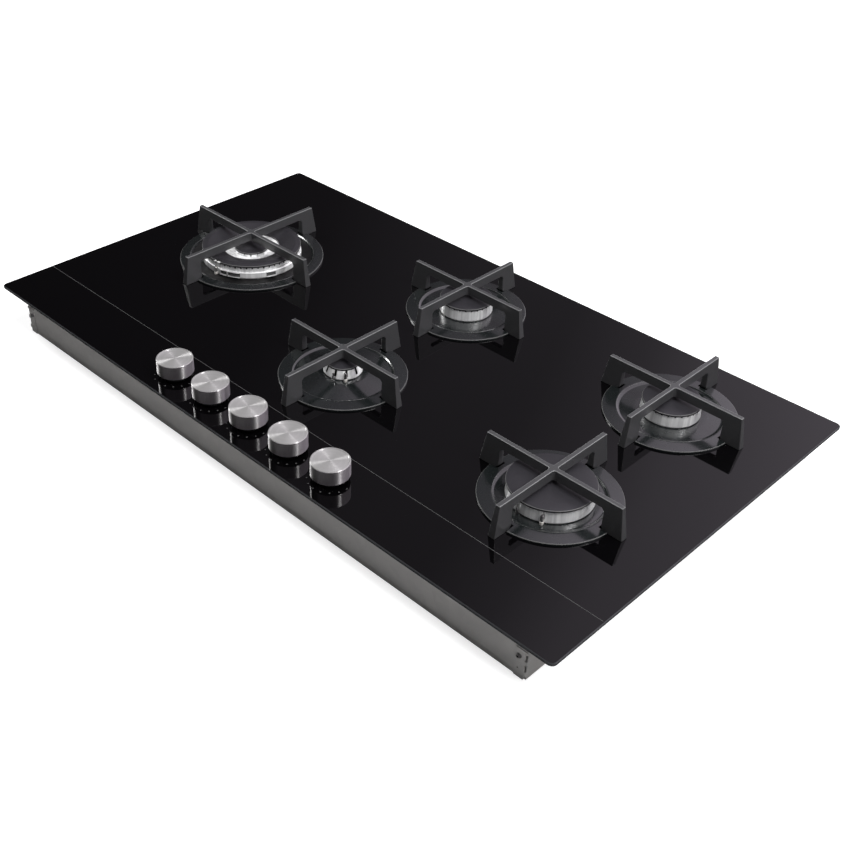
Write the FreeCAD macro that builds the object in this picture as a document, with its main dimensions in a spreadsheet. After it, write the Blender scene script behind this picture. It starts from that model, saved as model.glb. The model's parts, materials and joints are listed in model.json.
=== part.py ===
import FreeCAD, Part

import math
import os

import Sketcher

DOC = FreeCAD.newDocument("gas_cooktop")

# ---------------------------------------------------------------- driving sizes
# Lengths in millimetres, angles in degrees. The frame stands on the flat bottom of the tray, at
# its middle: X along the knob row, Y from the knobs to the back, Z up.
SIZES = (
    # glass top
    ("glass_width", 880), ("glass_depth", 500), ("glass_thickness", 4), ("glass_corner", 6),
    ("glass_arris", 0.8), ("cut_past", 1),
    # folded steel tray, and the bead that bonds it to the glass
    ("tray_width", 811), ("tray_depth", 476), ("tray_height", 51), ("tray_sheet", 1),
    ("tray_flange", 16), ("bead_inset", 3), ("bead_width", 10), ("bead_height", 1),
    ("tray_flap", 13), ("tray_flap_height", 35), ("corner_slot_length", 9),
    ("corner_slot_width", 2.2), ("corner_slot_pitch", 13.5),
    ("corner_slot_start", -4), ("corner_slots", 3),
    ("clamp_hole_radius", 2), ("clamp_hole_inset_x", 105.5), ("clamp_hole_inset_y", 28),
    ("vent_length", 40), ("vent_width", 5), ("vent_pitch", 14), ("vents", 5), ("vent_x", -230),
    ("vent_inset", 68),
    # recess in the tray for the gas inlet, at the right rear
    ("recess_width", 60), ("recess_depth", 56), ("recess_height", 24), ("recess_inset", 12),
    ("inlet_thread_radius", 10.48), ("inlet_thread_length", 16.5), ("inlet_neck", 9),
    ("inlet_neck_length", 1.5), ("inlet_bore", 6),
    ("inlet_block", 24), ("inlet_block_height", 21), ("inlet_hole_gap", 0.5),
    # case screws
    ("case_screw_inset", 9), ("case_screw_level", 26), ("case_screw_head", 3),
    ("case_screw_shank", 1.5), ("case_screw_length", 6), ("case_screw_dome", 1.8),
    ("screw_hole_gap", 0.2), ("case_hole_level", 11), ("case_hole_radius", 1),
    # knobs
    ("knob_pitch", 63.7), ("knob_row_inset", 24), ("knob_radius", 20.75), ("knob_height", 16.9),
    ("knob_gap", 6.3), ("knob_wall", 2.6), ("knob_face", 3), ("knob_recess", 0.5),
    ("knob_rim", 1.8), ("knob_bevel", 0.6), ("knob_hub", 6.5), ("knob_hub_rise", 4.2),
    # taps: body, plug, and the stem that is pushed and turned
    ("stem_radius", 4), ("stem_tail", 3), ("stem_flat", 2.6), ("stem_tail_flat", 1.8),
    ("stem_hold", 9), ("stem_shoulder", 41), ("stem_hole", 7), ("stem_play", 0.4),
    ("stem_push", 4), ("seal_radius", 14), ("seal_height", 4), ("seal_skirt", 3),
    ("seal_slope", 1), ("running_gap", 0.05), ("end_gap", 0.3),
    ("tap_radius", 11), ("tap_foot", 8), ("tap_shoulder", 38), ("tap_neck", 8), ("tap_top", 46),
    ("plug_radius", 6.5), ("plug_taper", 0.6), ("plug_foot", 13), ("plug_top", 35),
    ("plug_bore_depth", 17), ("outlet_radius", 6.5), ("outlet_reach", 20), ("outlet_seat", 12),
    ("passage_radius", 2), ("passage_drop", 4),
    # gas rail, its brackets, saddles and clamps
    ("rail_offset", 24), ("rail_level", 34), ("rail_radius", 7.5), ("rail_wall", 1.5),
    ("rail_overhang", 22), ("rail_bend", 30), ("saddle_width", 18), ("saddle_height", 26.4),
    ("clamp_thickness", 11), ("clamp_split", 1), ("clamp_screw_reach", 10.8),
    ("clamp_screw", 1.5), ("clamp_screw_length", 17), ("clamp_screw_head", 2.6),
    ("clamp_screw_cap", 2), ("bracket_width", 16), ("bracket_sheet", 3), ("bracket_foot", 24),
    ("bracket_cradle", 12), ("bracket_cradle_depth", 6), ("bracket_pitch", 198),
    ("brackets", 3), ("knobs", 5),
    # feed pipes
    ("pipe_level", 16), ("pipe_radius", 4), ("pipe_wall", 0.8), ("pipe_bend", 16),
    ("pipe_stop", 6),
    # places of the burners, from the middle of the glass
    ("wok_x", -285), ("wok_y", 29), ("middle_x", 0), ("right_x", 298), ("front_y", -76),
    ("rear_y", 132),
    # burner cups
    ("wok_cup", 39), ("rapid_cup", 29), ("medium_cup", 21), ("simmer_cup", 14),
    ("cup_foot", 8), ("cup_boss", 11), ("cup_boss_top", 24), ("cup_slope", 10),
    ("cup_wall", 2.5), ("cup_throat", 8), ("cup_flange", 1.2), ("cup_flange_inset", 1.2),
    ("hole_gap", 3), ("wok_second_boss", 20), ("wok_second_seat", 34),
    ("injector_radius", 5), ("injector_shank", 3), ("injector_height", 9),
    ("injector_cone", 3), ("injector_depth", 6), ("injector_hole", 0.8),
    ("injector_corners", 6),
    # burner heads
    ("wok_head", 64.8), ("rapid_head", 45.1), ("medium_head", 32.7), ("simmer_head", 22.4),
    ("wok_head_top", 17.2), ("rapid_head_top", 17.2), ("medium_head_top", 17.2),
    ("simmer_head_top", 17), ("head_taper", 0.8), ("simmer_taper", 3.4), ("head_rim", 5),
    ("head_recess", 3), ("wok_head_recess", 4), ("head_deck", 3), ("wok_head_deck", 5.5),
    ("head_wall", 3), ("head_skirt", 8), ("skirt_wall", 2),
    ("seat_gap", 0.3), ("head_throat", 7), ("port_width", 1.6), ("port_depth", 1.3),
    ("wok_port_depth", 2.4), ("wok_ports", 54), ("rapid_ports", 36), ("medium_ports", 28),
    ("simmer_ports", 10),
    ("simmer_port_width", 2.6), ("simmer_port_depth", 7), ("simmer_port_reach", 4.5),
    ("wok_tier", 10.2), ("wok_tier_step", 1.6), ("wok_crown", 36),
    ("wok_crown_gap", 2), ("wok_inner_ring", 22.5), ("wok_inner_wall", 5),
    ("wok_inner_top", 13.4), ("wok_inner_ports", 16), ("windows_round", 2),
    ("first_window_angle", -74), ("first_window_width", 9), ("second_window_angle", -60.5),
    ("second_window_width", 17), ("third_window_angle", -17.5), ("third_window_width", 12.5),
    ("wok_window_height", 6.4), ("wok_window_depth", 1.5), ("wok_window_foot", 0.6),
    # burner caps
    ("wok_cap", 64.3), ("rapid_cap", 45.7), ("medium_cap", 32.5), ("simmer_cap", 19.1),
    ("wok_inner_cap", 22), ("cap_edge", 2.2), ("cap_bevel", 0.8), ("cap_shoulder", 4),
    ("cap_crown", 1.2), ("cap_spigot", 2.4), ("cap_spigot_gap", 0.4), ("cap_web", 3),
    ("ring_cap_crest", 57), ("ring_cap_sheet", 1.5), ("ring_cap_gap", 0.3),
    ("cap_notch_width", 13), ("cap_notch_depth", 4), ("cap_notch_angle", -84),
    # enamelled plates
    ("plate_radius", 74), ("wok_plate_radius", 94), ("plate_sheet", 1.2), ("plate_rim", 2.7),
    ("plate_roll", 1.2), ("plate_step", 58), ("wok_plate_step", 81), ("plate_crest", 3.6),
    ("plate_crest_width", 1.4), ("plate_step_run", 2.5), ("plate_step_lean", 0.5),
    ("plate_dish", 1.9), ("plate_hub_margin", 6), ("wok_plate_hub", 1.4), ("rapid_plate_hub", 2.4),
    ("medium_plate_hub", 2.4), ("simmer_plate_hub", 6.2), ("plate_notch_gap", 1.5),
    ("plate_bore_gap", 0.4),
    # igniters and flame sensors, standing on the plates beside the heads
    ("igniter_radius", 2.2), ("igniter_height", 10.5), ("igniter_tip", 0.9),
    ("igniter_tip_height", 1.2), ("sensor_radius", 1.5), ("sensor_height", 10),
    ("post_gap", 0.6), ("post_offset", 1.2),
    ("wok_igniter_angle", -84), ("rapid_igniter_angle", -62), ("medium_igniter_angle", 118),
    ("simmer_igniter_angle", -37), ("sensor_angle", -34),
    # pan supports
    ("support_height", 36.3), ("support_reach", 83.5), ("wok_support_reach", 104.5),
    ("support_splay", 6), ("support_leg", 25), ("support_bar", 5.2), ("support_foot", 8.6),
    ("support_bar_depth", 11.3), ("support_toe", 4), ("support_crotch", 3),
    ("support_fillet", 3), ("support_edge", 0.7),
    # ignition module, terminal box and cable gland
    ("module_x", -160), ("module_inset", 46),
    ("module_width", 62), ("module_depth", 38),
    ("module_height", 24), ("box_rounding", 2), ("terminal_x", 190), ("terminal_width", 50),
    ("terminal_depth", 32), ("terminal_height", 36), ("terminal_gap", 8),
    ("gland_level", 22), ("gland_bore", 4), ("gland_thread", 7), ("gland_nut", 10),
    ("gland_outside", 9), ("gland_flange", 3), ("gland_inside", 7), ("gland_hole_gap", 0.3),
)

SHEET = DOC.addObject("Spreadsheet::Sheet", "Sizes")
for row, (alias, number) in enumerate(SIZES, start=1):
    SHEET.set("A%d" % row, alias)
    SHEET.set("B%d" % row, str(number))
    SHEET.setAlias("B%d" % row, alias)
DOC.recompute()

# Levels and lines that several pieces share, written in the driving sizes.
GLASS_FLOOR = "(Sizes.tray_height + Sizes.bead_height)"
GLASS_TOP = "(Sizes.tray_height + Sizes.bead_height + Sizes.glass_thickness)"
KNOB_ROW = "(Sizes.knob_row_inset - Sizes.tray_depth / 2)"
RAIL_ROW = "(Sizes.knob_row_inset - Sizes.tray_depth / 2 + Sizes.rail_offset)"
INLET_X = "(Sizes.tray_width / 2 - Sizes.recess_inset - Sizes.recess_width / 2)"
INLET_Y = "(Sizes.tray_depth / 2 - Sizes.recess_inset - Sizes.recess_depth / 2)"
FIRST_KNOB = "(-(Sizes.knobs - 1) / 2 * Sizes.knob_pitch)"

# Each burner: name, X, Y, family of head and cup sizes, and the side its gas comes from.
BURNERS = (
    ("wok", "Sizes.wok_x", "Sizes.wok_y", "wok", "front"),
    ("simmer", "Sizes.middle_x", "Sizes.front_y", "simmer", "front"),
    ("centre", "Sizes.middle_x", "Sizes.rear_y", "medium", "left"),
    ("right", "Sizes.right_x", "Sizes.rear_y", "medium", "left"),
    ("rapid", "Sizes.right_x", "Sizes.front_y", "rapid", "left"),
)
KNOBS = range(1, 6)

# Two lengths closer than this are the same.
TOLERANCE = 1e-6

NODES = []


# ---------------------------------------------------------------- ways of working
def size(expression):
    """The present value of an expression in the sheet's names."""
    return float(SHEET.evalExpression(str(expression)))


def bind(item, **expressions):
    """Ties properties of an object to expressions; a double underscore stands for a dot."""
    for name, expression in expressions.items():
        item.setExpression(name.replace("__", "."), str(expression))


def place(item, x="0", y="0", z="0"):
    bind(item, Placement__Base__x=x, Placement__Base__y=y, Placement__Base__z=z)


def body(name, x="0", y="0", z="0", node=True):
    """A body with its own origin at a place in the frame."""
    item = DOC.addObject("PartDesign::Body", name)
    item.Label = name
    item.AllowCompound = True
    place(item, x, y, z)
    if node:
        NODES.append(item)
    return item


def sketch(owner, role="XY_Plane", lift="0"):
    """A sketch on one of its body's origin planes, moved along the plane's normal."""
    item = owner.newObject("Sketcher::SketchObject", owner.Name + "_sketch")
    plane = [face for face in owner.Origin.OriginFeatures if face.Role == role][0]
    item.AttachmentSupport = [(plane, "")]
    item.MapMode = "FlatFace"
    bind(item, AttachmentOffset__Base__z=lift)
    return item


def hold(drawing, kind, *where):
    """Adds a driving constraint whose last argument is its expression."""
    expression = where[-1]
    number = drawing.addConstraint(Sketcher.Constraint(kind, *where[:-1], size(expression)))
    drawing.setExpression("Constraints[%d]" % number, str(expression))


def corner_at(drawing, edge, end, x, y):
    hold(drawing, "DistanceX", -1, 1, edge, end, x)
    hold(drawing, "DistanceY", -1, 1, edge, end, y)


def outline(drawing, corners):
    """A closed run of straight edges through corners given as expressions."""
    spots = [FreeCAD.Vector(size(x), size(y), 0) for x, y in corners]
    first = drawing.GeometryCount
    count = len(corners)
    for index, spot in enumerate(spots):
        drawing.addGeometry(Part.LineSegment(spot, spots[(index + 1) % count]), False)
    for index in range(count):
        after = first + (index + 1) % count
        drawing.addConstraint(Sketcher.Constraint("Coincident", first + index, 2, after, 1))
    for index, (x, y) in enumerate(corners):
        corner_at(drawing, first + index, 1, x, y)


def rectangle(drawing, left, right, front, back):
    outline(drawing, ((left, front), (right, front), (right, back), (left, back)))


def framed(drawing, width, depth):
    """A rectangle about the sketch's origin."""
    rectangle(drawing, "-(%s) / 2" % width, "(%s) / 2" % width,
              "-(%s) / 2" % depth, "(%s) / 2" % depth)


def circle(drawing, x, y, radius):
    centre = FreeCAD.Vector(size(x), size(y), 0)
    ring = Part.Circle(centre, FreeCAD.Vector(0, 0, 1), size(radius))
    edge = drawing.addGeometry(ring, False)
    corner_at(drawing, edge, 3, x, y)
    hold(drawing, "Radius", edge, radius)


def flatted(drawing, radius, flat):
    """A circle about the sketch's origin with one flat, at a distance in +X."""
    reach = size(radius)
    turn = math.acos(size(flat) / reach)
    ring = Part.Circle(FreeCAD.Vector(0, 0, 0), FreeCAD.Vector(0, 0, 1), reach)
    arc = drawing.addGeometry(Part.ArcOfCircle(ring, turn, 2 * math.pi - turn), False)
    low = FreeCAD.Vector(size(flat), -reach * math.sin(turn), 0)
    high = FreeCAD.Vector(size(flat), reach * math.sin(turn), 0)
    line = drawing.addGeometry(Part.LineSegment(low, high), False)
    drawing.addConstraint(Sketcher.Constraint("Coincident", arc, 3, -1, 1))
    drawing.addConstraint(Sketcher.Constraint("Coincident", arc, 2, line, 1))
    drawing.addConstraint(Sketcher.Constraint("Coincident", arc, 1, line, 2))
    drawing.addConstraint(Sketcher.Constraint("Vertical", line))
    hold(drawing, "Radius", arc, radius)
    hold(drawing, "DistanceX", -1, 1, line, 1, flat)


def feature(owner, kind, drawing):
    item = owner.newObject("PartDesign::" + kind, owner.Name + "_" + kind.lower())
    item.Profile = drawing
    return item


def pad(owner, drawing, length, symmetric=False, reverse=False):
    item = feature(owner, "Pad", drawing)
    item.SideType = "Symmetric" if symmetric else "One side"
    item.Reversed = reverse
    bind(item, Length=length)
    return item


def pocket(owner, drawing, length, reverse=False, symmetric=False):
    item = feature(owner, "Pocket", drawing)
    item.SideType = "Symmetric" if symmetric else "One side"
    item.Reversed = reverse
    bind(item, Length=length)
    return item


def turned(owner, corners):
    """A full turn of a profile, given as (radius, height), about the body's Z axis."""
    drawing = sketch(owner, "XZ_Plane")
    outline(drawing, corners)
    item = feature(owner, "Revolution", drawing)
    item.ReferenceAxis = (drawing, ["V_Axis"])
    item.Angle = 360
    return item


def around(owner, cut, count, axis="N_Axis"):
    """Repeats a feature at equal turns about an axis of its own sketch."""
    item = owner.newObject("PartDesign::PolarPattern", owner.Name + "_round")
    item.Originals = [cut]
    item.Axis = (cut.Profile[0], [axis])
    item.Angle = 360
    bind(item, Occurrences=count)
    owner.Tip = item
    return item


def along(owner, originals, axis, span, count):
    """Repeats features in a row along an axis of the first one's sketch."""
    item = owner.newObject("PartDesign::LinearPattern", owner.Name + "_row")
    item.Originals = originals
    item.Direction = (originals[0].Profile[0], [axis])
    bind(item, Length=span, Occurrences=count)
    owner.Tip = item
    return item


def rounded(owner, wanted, amount, kind="Fillet"):
    """Rounds or bevels the edges of the body's tip that pass a test."""
    DOC.recompute()
    base = owner.Tip
    names = ["Edge%d" % number for number, edge in enumerate(base.Shape.Edges, start=1)
             if wanted(edge)]
    if not names:
        raise RuntimeError("no edge to round on " + owner.Name)
    item = owner.newObject("PartDesign::" + kind, owner.Name + "_" + kind.lower())
    item.Base = (base, names)
    bind(item, **{"Radius" if kind == "Fillet" else "Size": amount})
    return item


def upright(edge):
    box = edge.BoundBox
    flat = max(box.XLength, box.YLength)
    return box.ZLength > TOLERANCE and flat < TOLERANCE


def level(edge, height):
    box = edge.BoundBox
    return abs(box.ZMin - height) < TOLERANCE and abs(box.ZMax - height) < TOLERANCE


def group(name, items):
    """One node for several separate solids of a kind."""
    item = DOC.addObject("Part::Compound", name)
    item.Label = name
    item.Links = items
    NODES.append(item)
    return item


# ---------------------------------------------------------------- glass top
def glass_top():
    glass = body("glass_top", z=GLASS_FLOOR)
    drawing = sketch(glass)
    framed(drawing, "Sizes.glass_width", "Sizes.glass_depth")
    pad(glass, drawing, "Sizes.glass_thickness")
    rounded(glass, upright, "Sizes.glass_corner")
    floor_or_top = (0, size("Sizes.glass_thickness"))
    rounded(glass, lambda edge: any(level(edge, height) for height in floor_or_top),
            "Sizes.glass_arris", "Chamfer")
    holes = sketch(glass)
    for name, x, y, family, side in BURNERS:
        circle(holes, x, y, "Sizes.%s_cup + Sizes.hole_gap" % family)
    for number in KNOBS:
        circle(holes, knob_x(number), KNOB_ROW, "Sizes.stem_hole")
    pocket(glass, holes, "Sizes.glass_thickness", reverse=True)


def knob_x(number):
    return "(%s + %d * Sizes.knob_pitch)" % (FIRST_KNOB, number - 1)


# ---------------------------------------------------------------- tray and bead
def base_tray():
    tray = body("base_tray")
    depth = "(Sizes.tray_depth - 2 * Sizes.tray_sheet)"
    floor = sketch(tray)
    framed(floor, "Sizes.tray_width", depth)
    pad(tray, floor, "Sizes.tray_sheet")
    walls = sketch(tray)
    framed(walls, "Sizes.tray_width", depth)
    framed(walls, "Sizes.tray_width - 2 * Sizes.tray_sheet", depth + " - 2 * Sizes.tray_sheet")
    pad(tray, walls, "Sizes.tray_height")
    flange = sketch(tray, lift="Sizes.tray_height - Sizes.tray_sheet")
    framed(flange, "Sizes.tray_width", depth)
    framed(flange, "Sizes.tray_width - 2 * Sizes.tray_flange",
           depth + " - 2 * Sizes.tray_flange")
    pad(tray, flange, "Sizes.tray_sheet")
    tray_flaps(tray)
    tray_recess(tray)
    tray_holes(tray)


def tray_flaps(tray):
    """Ends of the side walls, folded round onto the front and back walls."""
    flaps = sketch(tray)
    end = "(Sizes.tray_width / 2)"
    inner = "(Sizes.tray_width / 2 - Sizes.tray_flap)"
    outside = "(Sizes.tray_depth / 2)"
    inside = "(Sizes.tray_depth / 2 - Sizes.tray_sheet)"
    for left, right in ((inner, end), ("-" + end, "-" + inner)):
        rectangle(flaps, left, right, inside, outside)
        rectangle(flaps, left, right, "-" + outside, "-" + inside)
    pad(tray, flaps, "Sizes.tray_flap_height")


def tray_recess(tray):
    """A pocket pressed up into the floor, where the gas inlet points down."""
    half_width = "(Sizes.recess_width / 2)"
    half_depth = "(Sizes.recess_depth / 2)"
    rise = sketch(tray)
    reach = " + Sizes.tray_sheet"
    rectangle(rise, INLET_X + " - " + half_width + " - Sizes.tray_sheet",
              INLET_X + " + " + half_width + reach,
              INLET_Y + " - " + half_depth + " - Sizes.tray_sheet",
              INLET_Y + " + " + half_depth + reach)
    pad(tray, rise, "Sizes.recess_height + Sizes.tray_sheet")
    hollow = sketch(tray)
    rectangle(hollow, INLET_X + " - " + half_width, INLET_X + " + " + half_width,
              INLET_Y + " - " + half_depth, INLET_Y + " + " + half_depth)
    pocket(tray, hollow, "Sizes.recess_height", reverse=True)
    hole = sketch(tray)
    circle(hole, INLET_X, INLET_Y, "Sizes.inlet_thread_radius + Sizes.inlet_hole_gap")
    pocket(tray, hole, "Sizes.recess_height + 2 * Sizes.tray_sheet", reverse=True)


def tray_holes(tray):
    slots = sketch(tray, lift="Sizes.corner_slot_start")
    end = "(Sizes.tray_width / 2)"
    near = "(Sizes.tray_width / 2 - Sizes.corner_slot_width)"
    edge = "(Sizes.tray_depth / 2)"
    close = "(Sizes.tray_depth / 2 - Sizes.corner_slot_width)"
    for left, right in ((near, end), ("-" + end, "-" + near)):
        rectangle(slots, left, right, close, edge)
        rectangle(slots, left, right, "-" + edge, "-" + close)
    cut = pocket(tray, slots, "Sizes.corner_slot_length", reverse=True)
    along(tray, [cut], "N_Axis", "(Sizes.corner_slots - 1) * Sizes.corner_slot_pitch",
          "Sizes.corner_slots")
    clamp_holes = sketch(tray)
    across = "(Sizes.tray_width / 2 - Sizes.clamp_hole_inset_x)"
    back = "(Sizes.tray_depth / 2 - Sizes.clamp_hole_inset_y)"
    for x in (across, "-" + across):
        for y in (back, "-" + back):
            circle(clamp_holes, x, y, "Sizes.clamp_hole_radius")
    pocket(tray, clamp_holes, "Sizes.tray_sheet", reverse=True)
    vent = sketch(tray)
    vent_row = "Sizes.tray_depth / 2 - Sizes.vent_inset"
    rectangle(vent, "Sizes.vent_x - Sizes.vent_length / 2", "Sizes.vent_x + Sizes.vent_length / 2",
              vent_row + " - Sizes.vent_width / 2", vent_row + " + Sizes.vent_width / 2")
    row = pocket(tray, vent, "Sizes.tray_sheet", reverse=True)
    along(tray, [row], "V_Axis", "(Sizes.vents - 1) * Sizes.vent_pitch", "Sizes.vents")
    screw_holes = sketch(tray, "XZ_Plane")
    for x in ("Sizes.tray_width / 2 - Sizes.case_screw_inset",
              "-(Sizes.tray_width / 2 - Sizes.case_screw_inset)"):
        circle(screw_holes, x, "Sizes.case_screw_level",
               "Sizes.case_screw_shank + Sizes.screw_hole_gap")
        circle(screw_holes, x, "Sizes.case_hole_level", "Sizes.case_hole_radius")
    pocket(tray, screw_holes, "Sizes.tray_depth", symmetric=True)
    gland = sketch(tray, "XZ_Plane")
    circle(gland, "Sizes.terminal_x", "Sizes.gland_level",
           "Sizes.gland_thread + Sizes.gland_hole_gap")
    pocket(tray, gland, "Sizes.tray_depth / 2")


def glass_bead():
    bead = body("glass_bead", z="Sizes.tray_height")
    ring = sketch(bead)
    framed(ring, "Sizes.tray_width - 2 * Sizes.bead_inset",
           "Sizes.tray_depth - 2 * Sizes.bead_inset")
    framed(ring, "Sizes.tray_width - 2 * Sizes.bead_inset - 2 * Sizes.bead_width",
           "Sizes.tray_depth - 2 * Sizes.bead_inset - 2 * Sizes.bead_width")
    pad(bead, ring, "Sizes.bead_height")


def case_screws():
    """Domed screws in the front and back walls, near the four corners."""
    screws = []
    for index, (across, facing) in enumerate(((1, -1), (-1, -1), (1, 1), (-1, 1)), start=1):
        shank = DOC.addObject("Part::Cylinder", "case_screw_shank_%d" % index)
        bind(shank, Radius="Sizes.case_screw_shank", Height="Sizes.case_screw_length")
        dome = DOC.addObject("Part::Cone", "case_screw_dome_%d" % index)
        bind(dome, Radius1="Sizes.case_screw_head", Radius2="Sizes.case_screw_head * 2 / 3",
             Height="Sizes.case_screw_dome")
        shank.Placement.Rotation = FreeCAD.Rotation(FreeCAD.Vector(1, 0, 0), 90 * facing)
        dome.Placement.Rotation = FreeCAD.Rotation(FreeCAD.Vector(1, 0, 0), -90 * facing)
        x = "%d * (Sizes.tray_width / 2 - Sizes.case_screw_inset)" % across
        y = "%d * Sizes.tray_depth / 2" % facing
        place(shank, x, y, "Sizes.case_screw_level")
        place(dome, x, y, "Sizes.case_screw_level")
        screw = DOC.addObject("Part::MultiFuse", "case_screw_%d" % index)
        screw.Shapes = [shank, dome]
        screws.append(screw)
    group("case_screws", screws)


# ---------------------------------------------------------------- knobs and taps
def knob(number):
    item = body("knob_%d" % number, knob_x(number), KNOB_ROW, GLASS_TOP + " + Sizes.knob_gap")
    edge = "Sizes.knob_radius"
    top = "Sizes.knob_height"
    sunk = "(Sizes.knob_height - Sizes.knob_recess)"
    inside = "(Sizes.knob_height - Sizes.knob_face)"
    turned(item, (
        (edge, "0"), (edge, top + " - Sizes.knob_bevel"), (edge + " - Sizes.knob_bevel", top),
        (edge + " - Sizes.knob_rim", top),
        (edge + " - Sizes.knob_rim - Sizes.knob_recess", sunk), ("0", sunk),
        ("0", "Sizes.knob_hub_rise"), ("Sizes.knob_hub", "Sizes.knob_hub_rise"),
        ("Sizes.knob_hub", inside), (edge + " - Sizes.knob_wall", inside),
        (edge + " - Sizes.knob_wall", "0")))
    bore = sketch(item, lift="Sizes.knob_hub_rise")
    flatted(bore, "Sizes.stem_radius + Sizes.running_gap", "Sizes.stem_flat + Sizes.running_gap")
    pocket(item, bore, "Sizes.stem_hold", reverse=True)


def tap_stem(number):
    item = body("tap_stem_%d" % number, knob_x(number), KNOB_ROW)
    top = "(%s + Sizes.knob_gap + Sizes.knob_hub_rise + Sizes.stem_hold)" % GLASS_TOP
    foot = ("(Sizes.plug_top - Sizes.plug_bore_depth + Sizes.stem_push + 2 * Sizes.end_gap)")
    turned(item, (
        ("0", foot), ("Sizes.stem_tail", foot), ("Sizes.stem_tail", "Sizes.stem_shoulder"),
        ("Sizes.stem_radius", "Sizes.stem_shoulder"), ("Sizes.stem_radius", top), ("0", top)))
    flat = sketch(item, lift=top)
    rectangle(flat, "Sizes.stem_flat", "Sizes.stem_radius + Sizes.cut_past", "-Sizes.stem_radius",
              "Sizes.stem_radius")
    pocket(item, flat, "Sizes.stem_hold")
    tail = sketch(item, lift=foot)
    rectangle(tail, "Sizes.stem_tail_flat", "Sizes.stem_tail + Sizes.cut_past", "-Sizes.stem_tail",
              "Sizes.stem_tail")
    clear_of_plug = "(Sizes.plug_top + Sizes.stem_push + Sizes.end_gap)"
    pocket(item, tail, "%s - %s" % (clear_of_plug, foot), reverse=True)


def tap_plug(number):
    item = body("tap_plug_%d" % number, knob_x(number), KNOB_ROW)
    wide = "(Sizes.plug_radius - Sizes.running_gap)"
    turned(item, (
        ("0", "Sizes.plug_foot"), (wide + " - Sizes.plug_taper", "Sizes.plug_foot"),
        (wide, "Sizes.plug_top"), ("0", "Sizes.plug_top")))
    bore = sketch(item, lift="Sizes.plug_top")
    flatted(bore, "Sizes.stem_tail + Sizes.running_gap",
            "Sizes.stem_tail_flat + Sizes.running_gap")
    pocket(item, bore, "Sizes.plug_bore_depth")


def tap_body(number):
    """A cast tap: plug chamber, neck for the stem, saddle on the rail and gas outlets."""
    tap = body("tap_%d" % number, knob_x(number), KNOB_ROW, node=False)
    outside = "Sizes.tap_radius"
    turned(tap, (
        ("0", "Sizes.tap_foot"), (outside, "Sizes.tap_foot"), (outside, "Sizes.tap_shoulder"),
        ("Sizes.tap_neck", "Sizes.tap_shoulder"), ("Sizes.tap_neck", "Sizes.tap_top"),
        ("0", "Sizes.tap_top")))
    saddle = sketch(tap, "YZ_Plane")
    rectangle(saddle, "Sizes.tap_neck", "Sizes.rail_offset",
              "Sizes.rail_level - Sizes.saddle_height / 2",
              "Sizes.rail_level + Sizes.saddle_height / 2")
    pad(tap, saddle, "Sizes.saddle_width", symmetric=True)
    outlet = sketch(tap, "XZ_Plane")
    circle(outlet, "0", "Sizes.pipe_level", "Sizes.outlet_radius")
    pad(tap, outlet, "Sizes.outlet_reach", reverse=True)
    if number == 1:
        second = sketch(tap, "YZ_Plane")
        circle(second, "0", "Sizes.pipe_level", "Sizes.outlet_radius")
        pad(tap, second, "Sizes.outlet_reach", reverse=True)
    seat = sketch(tap, "YZ_Plane")
    circle(seat, "Sizes.rail_offset", "Sizes.rail_level", "Sizes.rail_radius")
    pocket(tap, seat, "2 * Sizes.saddle_width", symmetric=True)
    tap_chamber(tap)
    bores = sketch(tap, "XZ_Plane", "-Sizes.outlet_seat")
    circle(bores, "0", "Sizes.pipe_level", "Sizes.pipe_radius")
    pocket(tap, bores, "Sizes.outlet_reach")
    if number == 1:
        side_bore = sketch(tap, "YZ_Plane", "-Sizes.outlet_seat")
        circle(side_bore, "0", "Sizes.pipe_level", "Sizes.pipe_radius")
        pocket(tap, side_bore, "Sizes.outlet_reach")
    passages = sketch(tap, "XZ_Plane")
    circle(passages, "0", "Sizes.rail_level - Sizes.passage_drop", "Sizes.passage_radius")
    circle(passages, "0", "Sizes.pipe_level", "Sizes.passage_radius")
    pocket(tap, passages, "Sizes.rail_offset")
    screws = sketch(tap, "XZ_Plane", "-Sizes.rail_offset")
    for sign in "+-":
        circle(screws, "0", "Sizes.rail_level %s Sizes.clamp_screw_reach" % sign,
               "Sizes.clamp_screw + Sizes.running_gap")
    pocket(tap, screws, "Sizes.clamp_screw_length - Sizes.clamp_thickness", reverse=True)
    return tap


def tap_chamber(tap):
    hollow = sketch(tap, "XZ_Plane")
    foot = "(Sizes.plug_foot - Sizes.end_gap)"
    top = "(Sizes.plug_top + Sizes.end_gap)"
    slope = "(Sizes.plug_taper * Sizes.end_gap / (Sizes.plug_top - Sizes.plug_foot))"
    neck = "(Sizes.stem_radius + Sizes.stem_play)"
    outline(hollow, (
        ("0", foot), ("Sizes.plug_radius - Sizes.plug_taper - " + slope, foot),
        ("Sizes.plug_radius + " + slope, top), (neck, top),
        (neck, "Sizes.tap_top + Sizes.cut_past"), ("0", "Sizes.tap_top + Sizes.cut_past")))
    cut = feature(tap, "Groove", hollow)
    cut.ReferenceAxis = (hollow, ["V_Axis"])
    cut.Angle = 360


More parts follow.
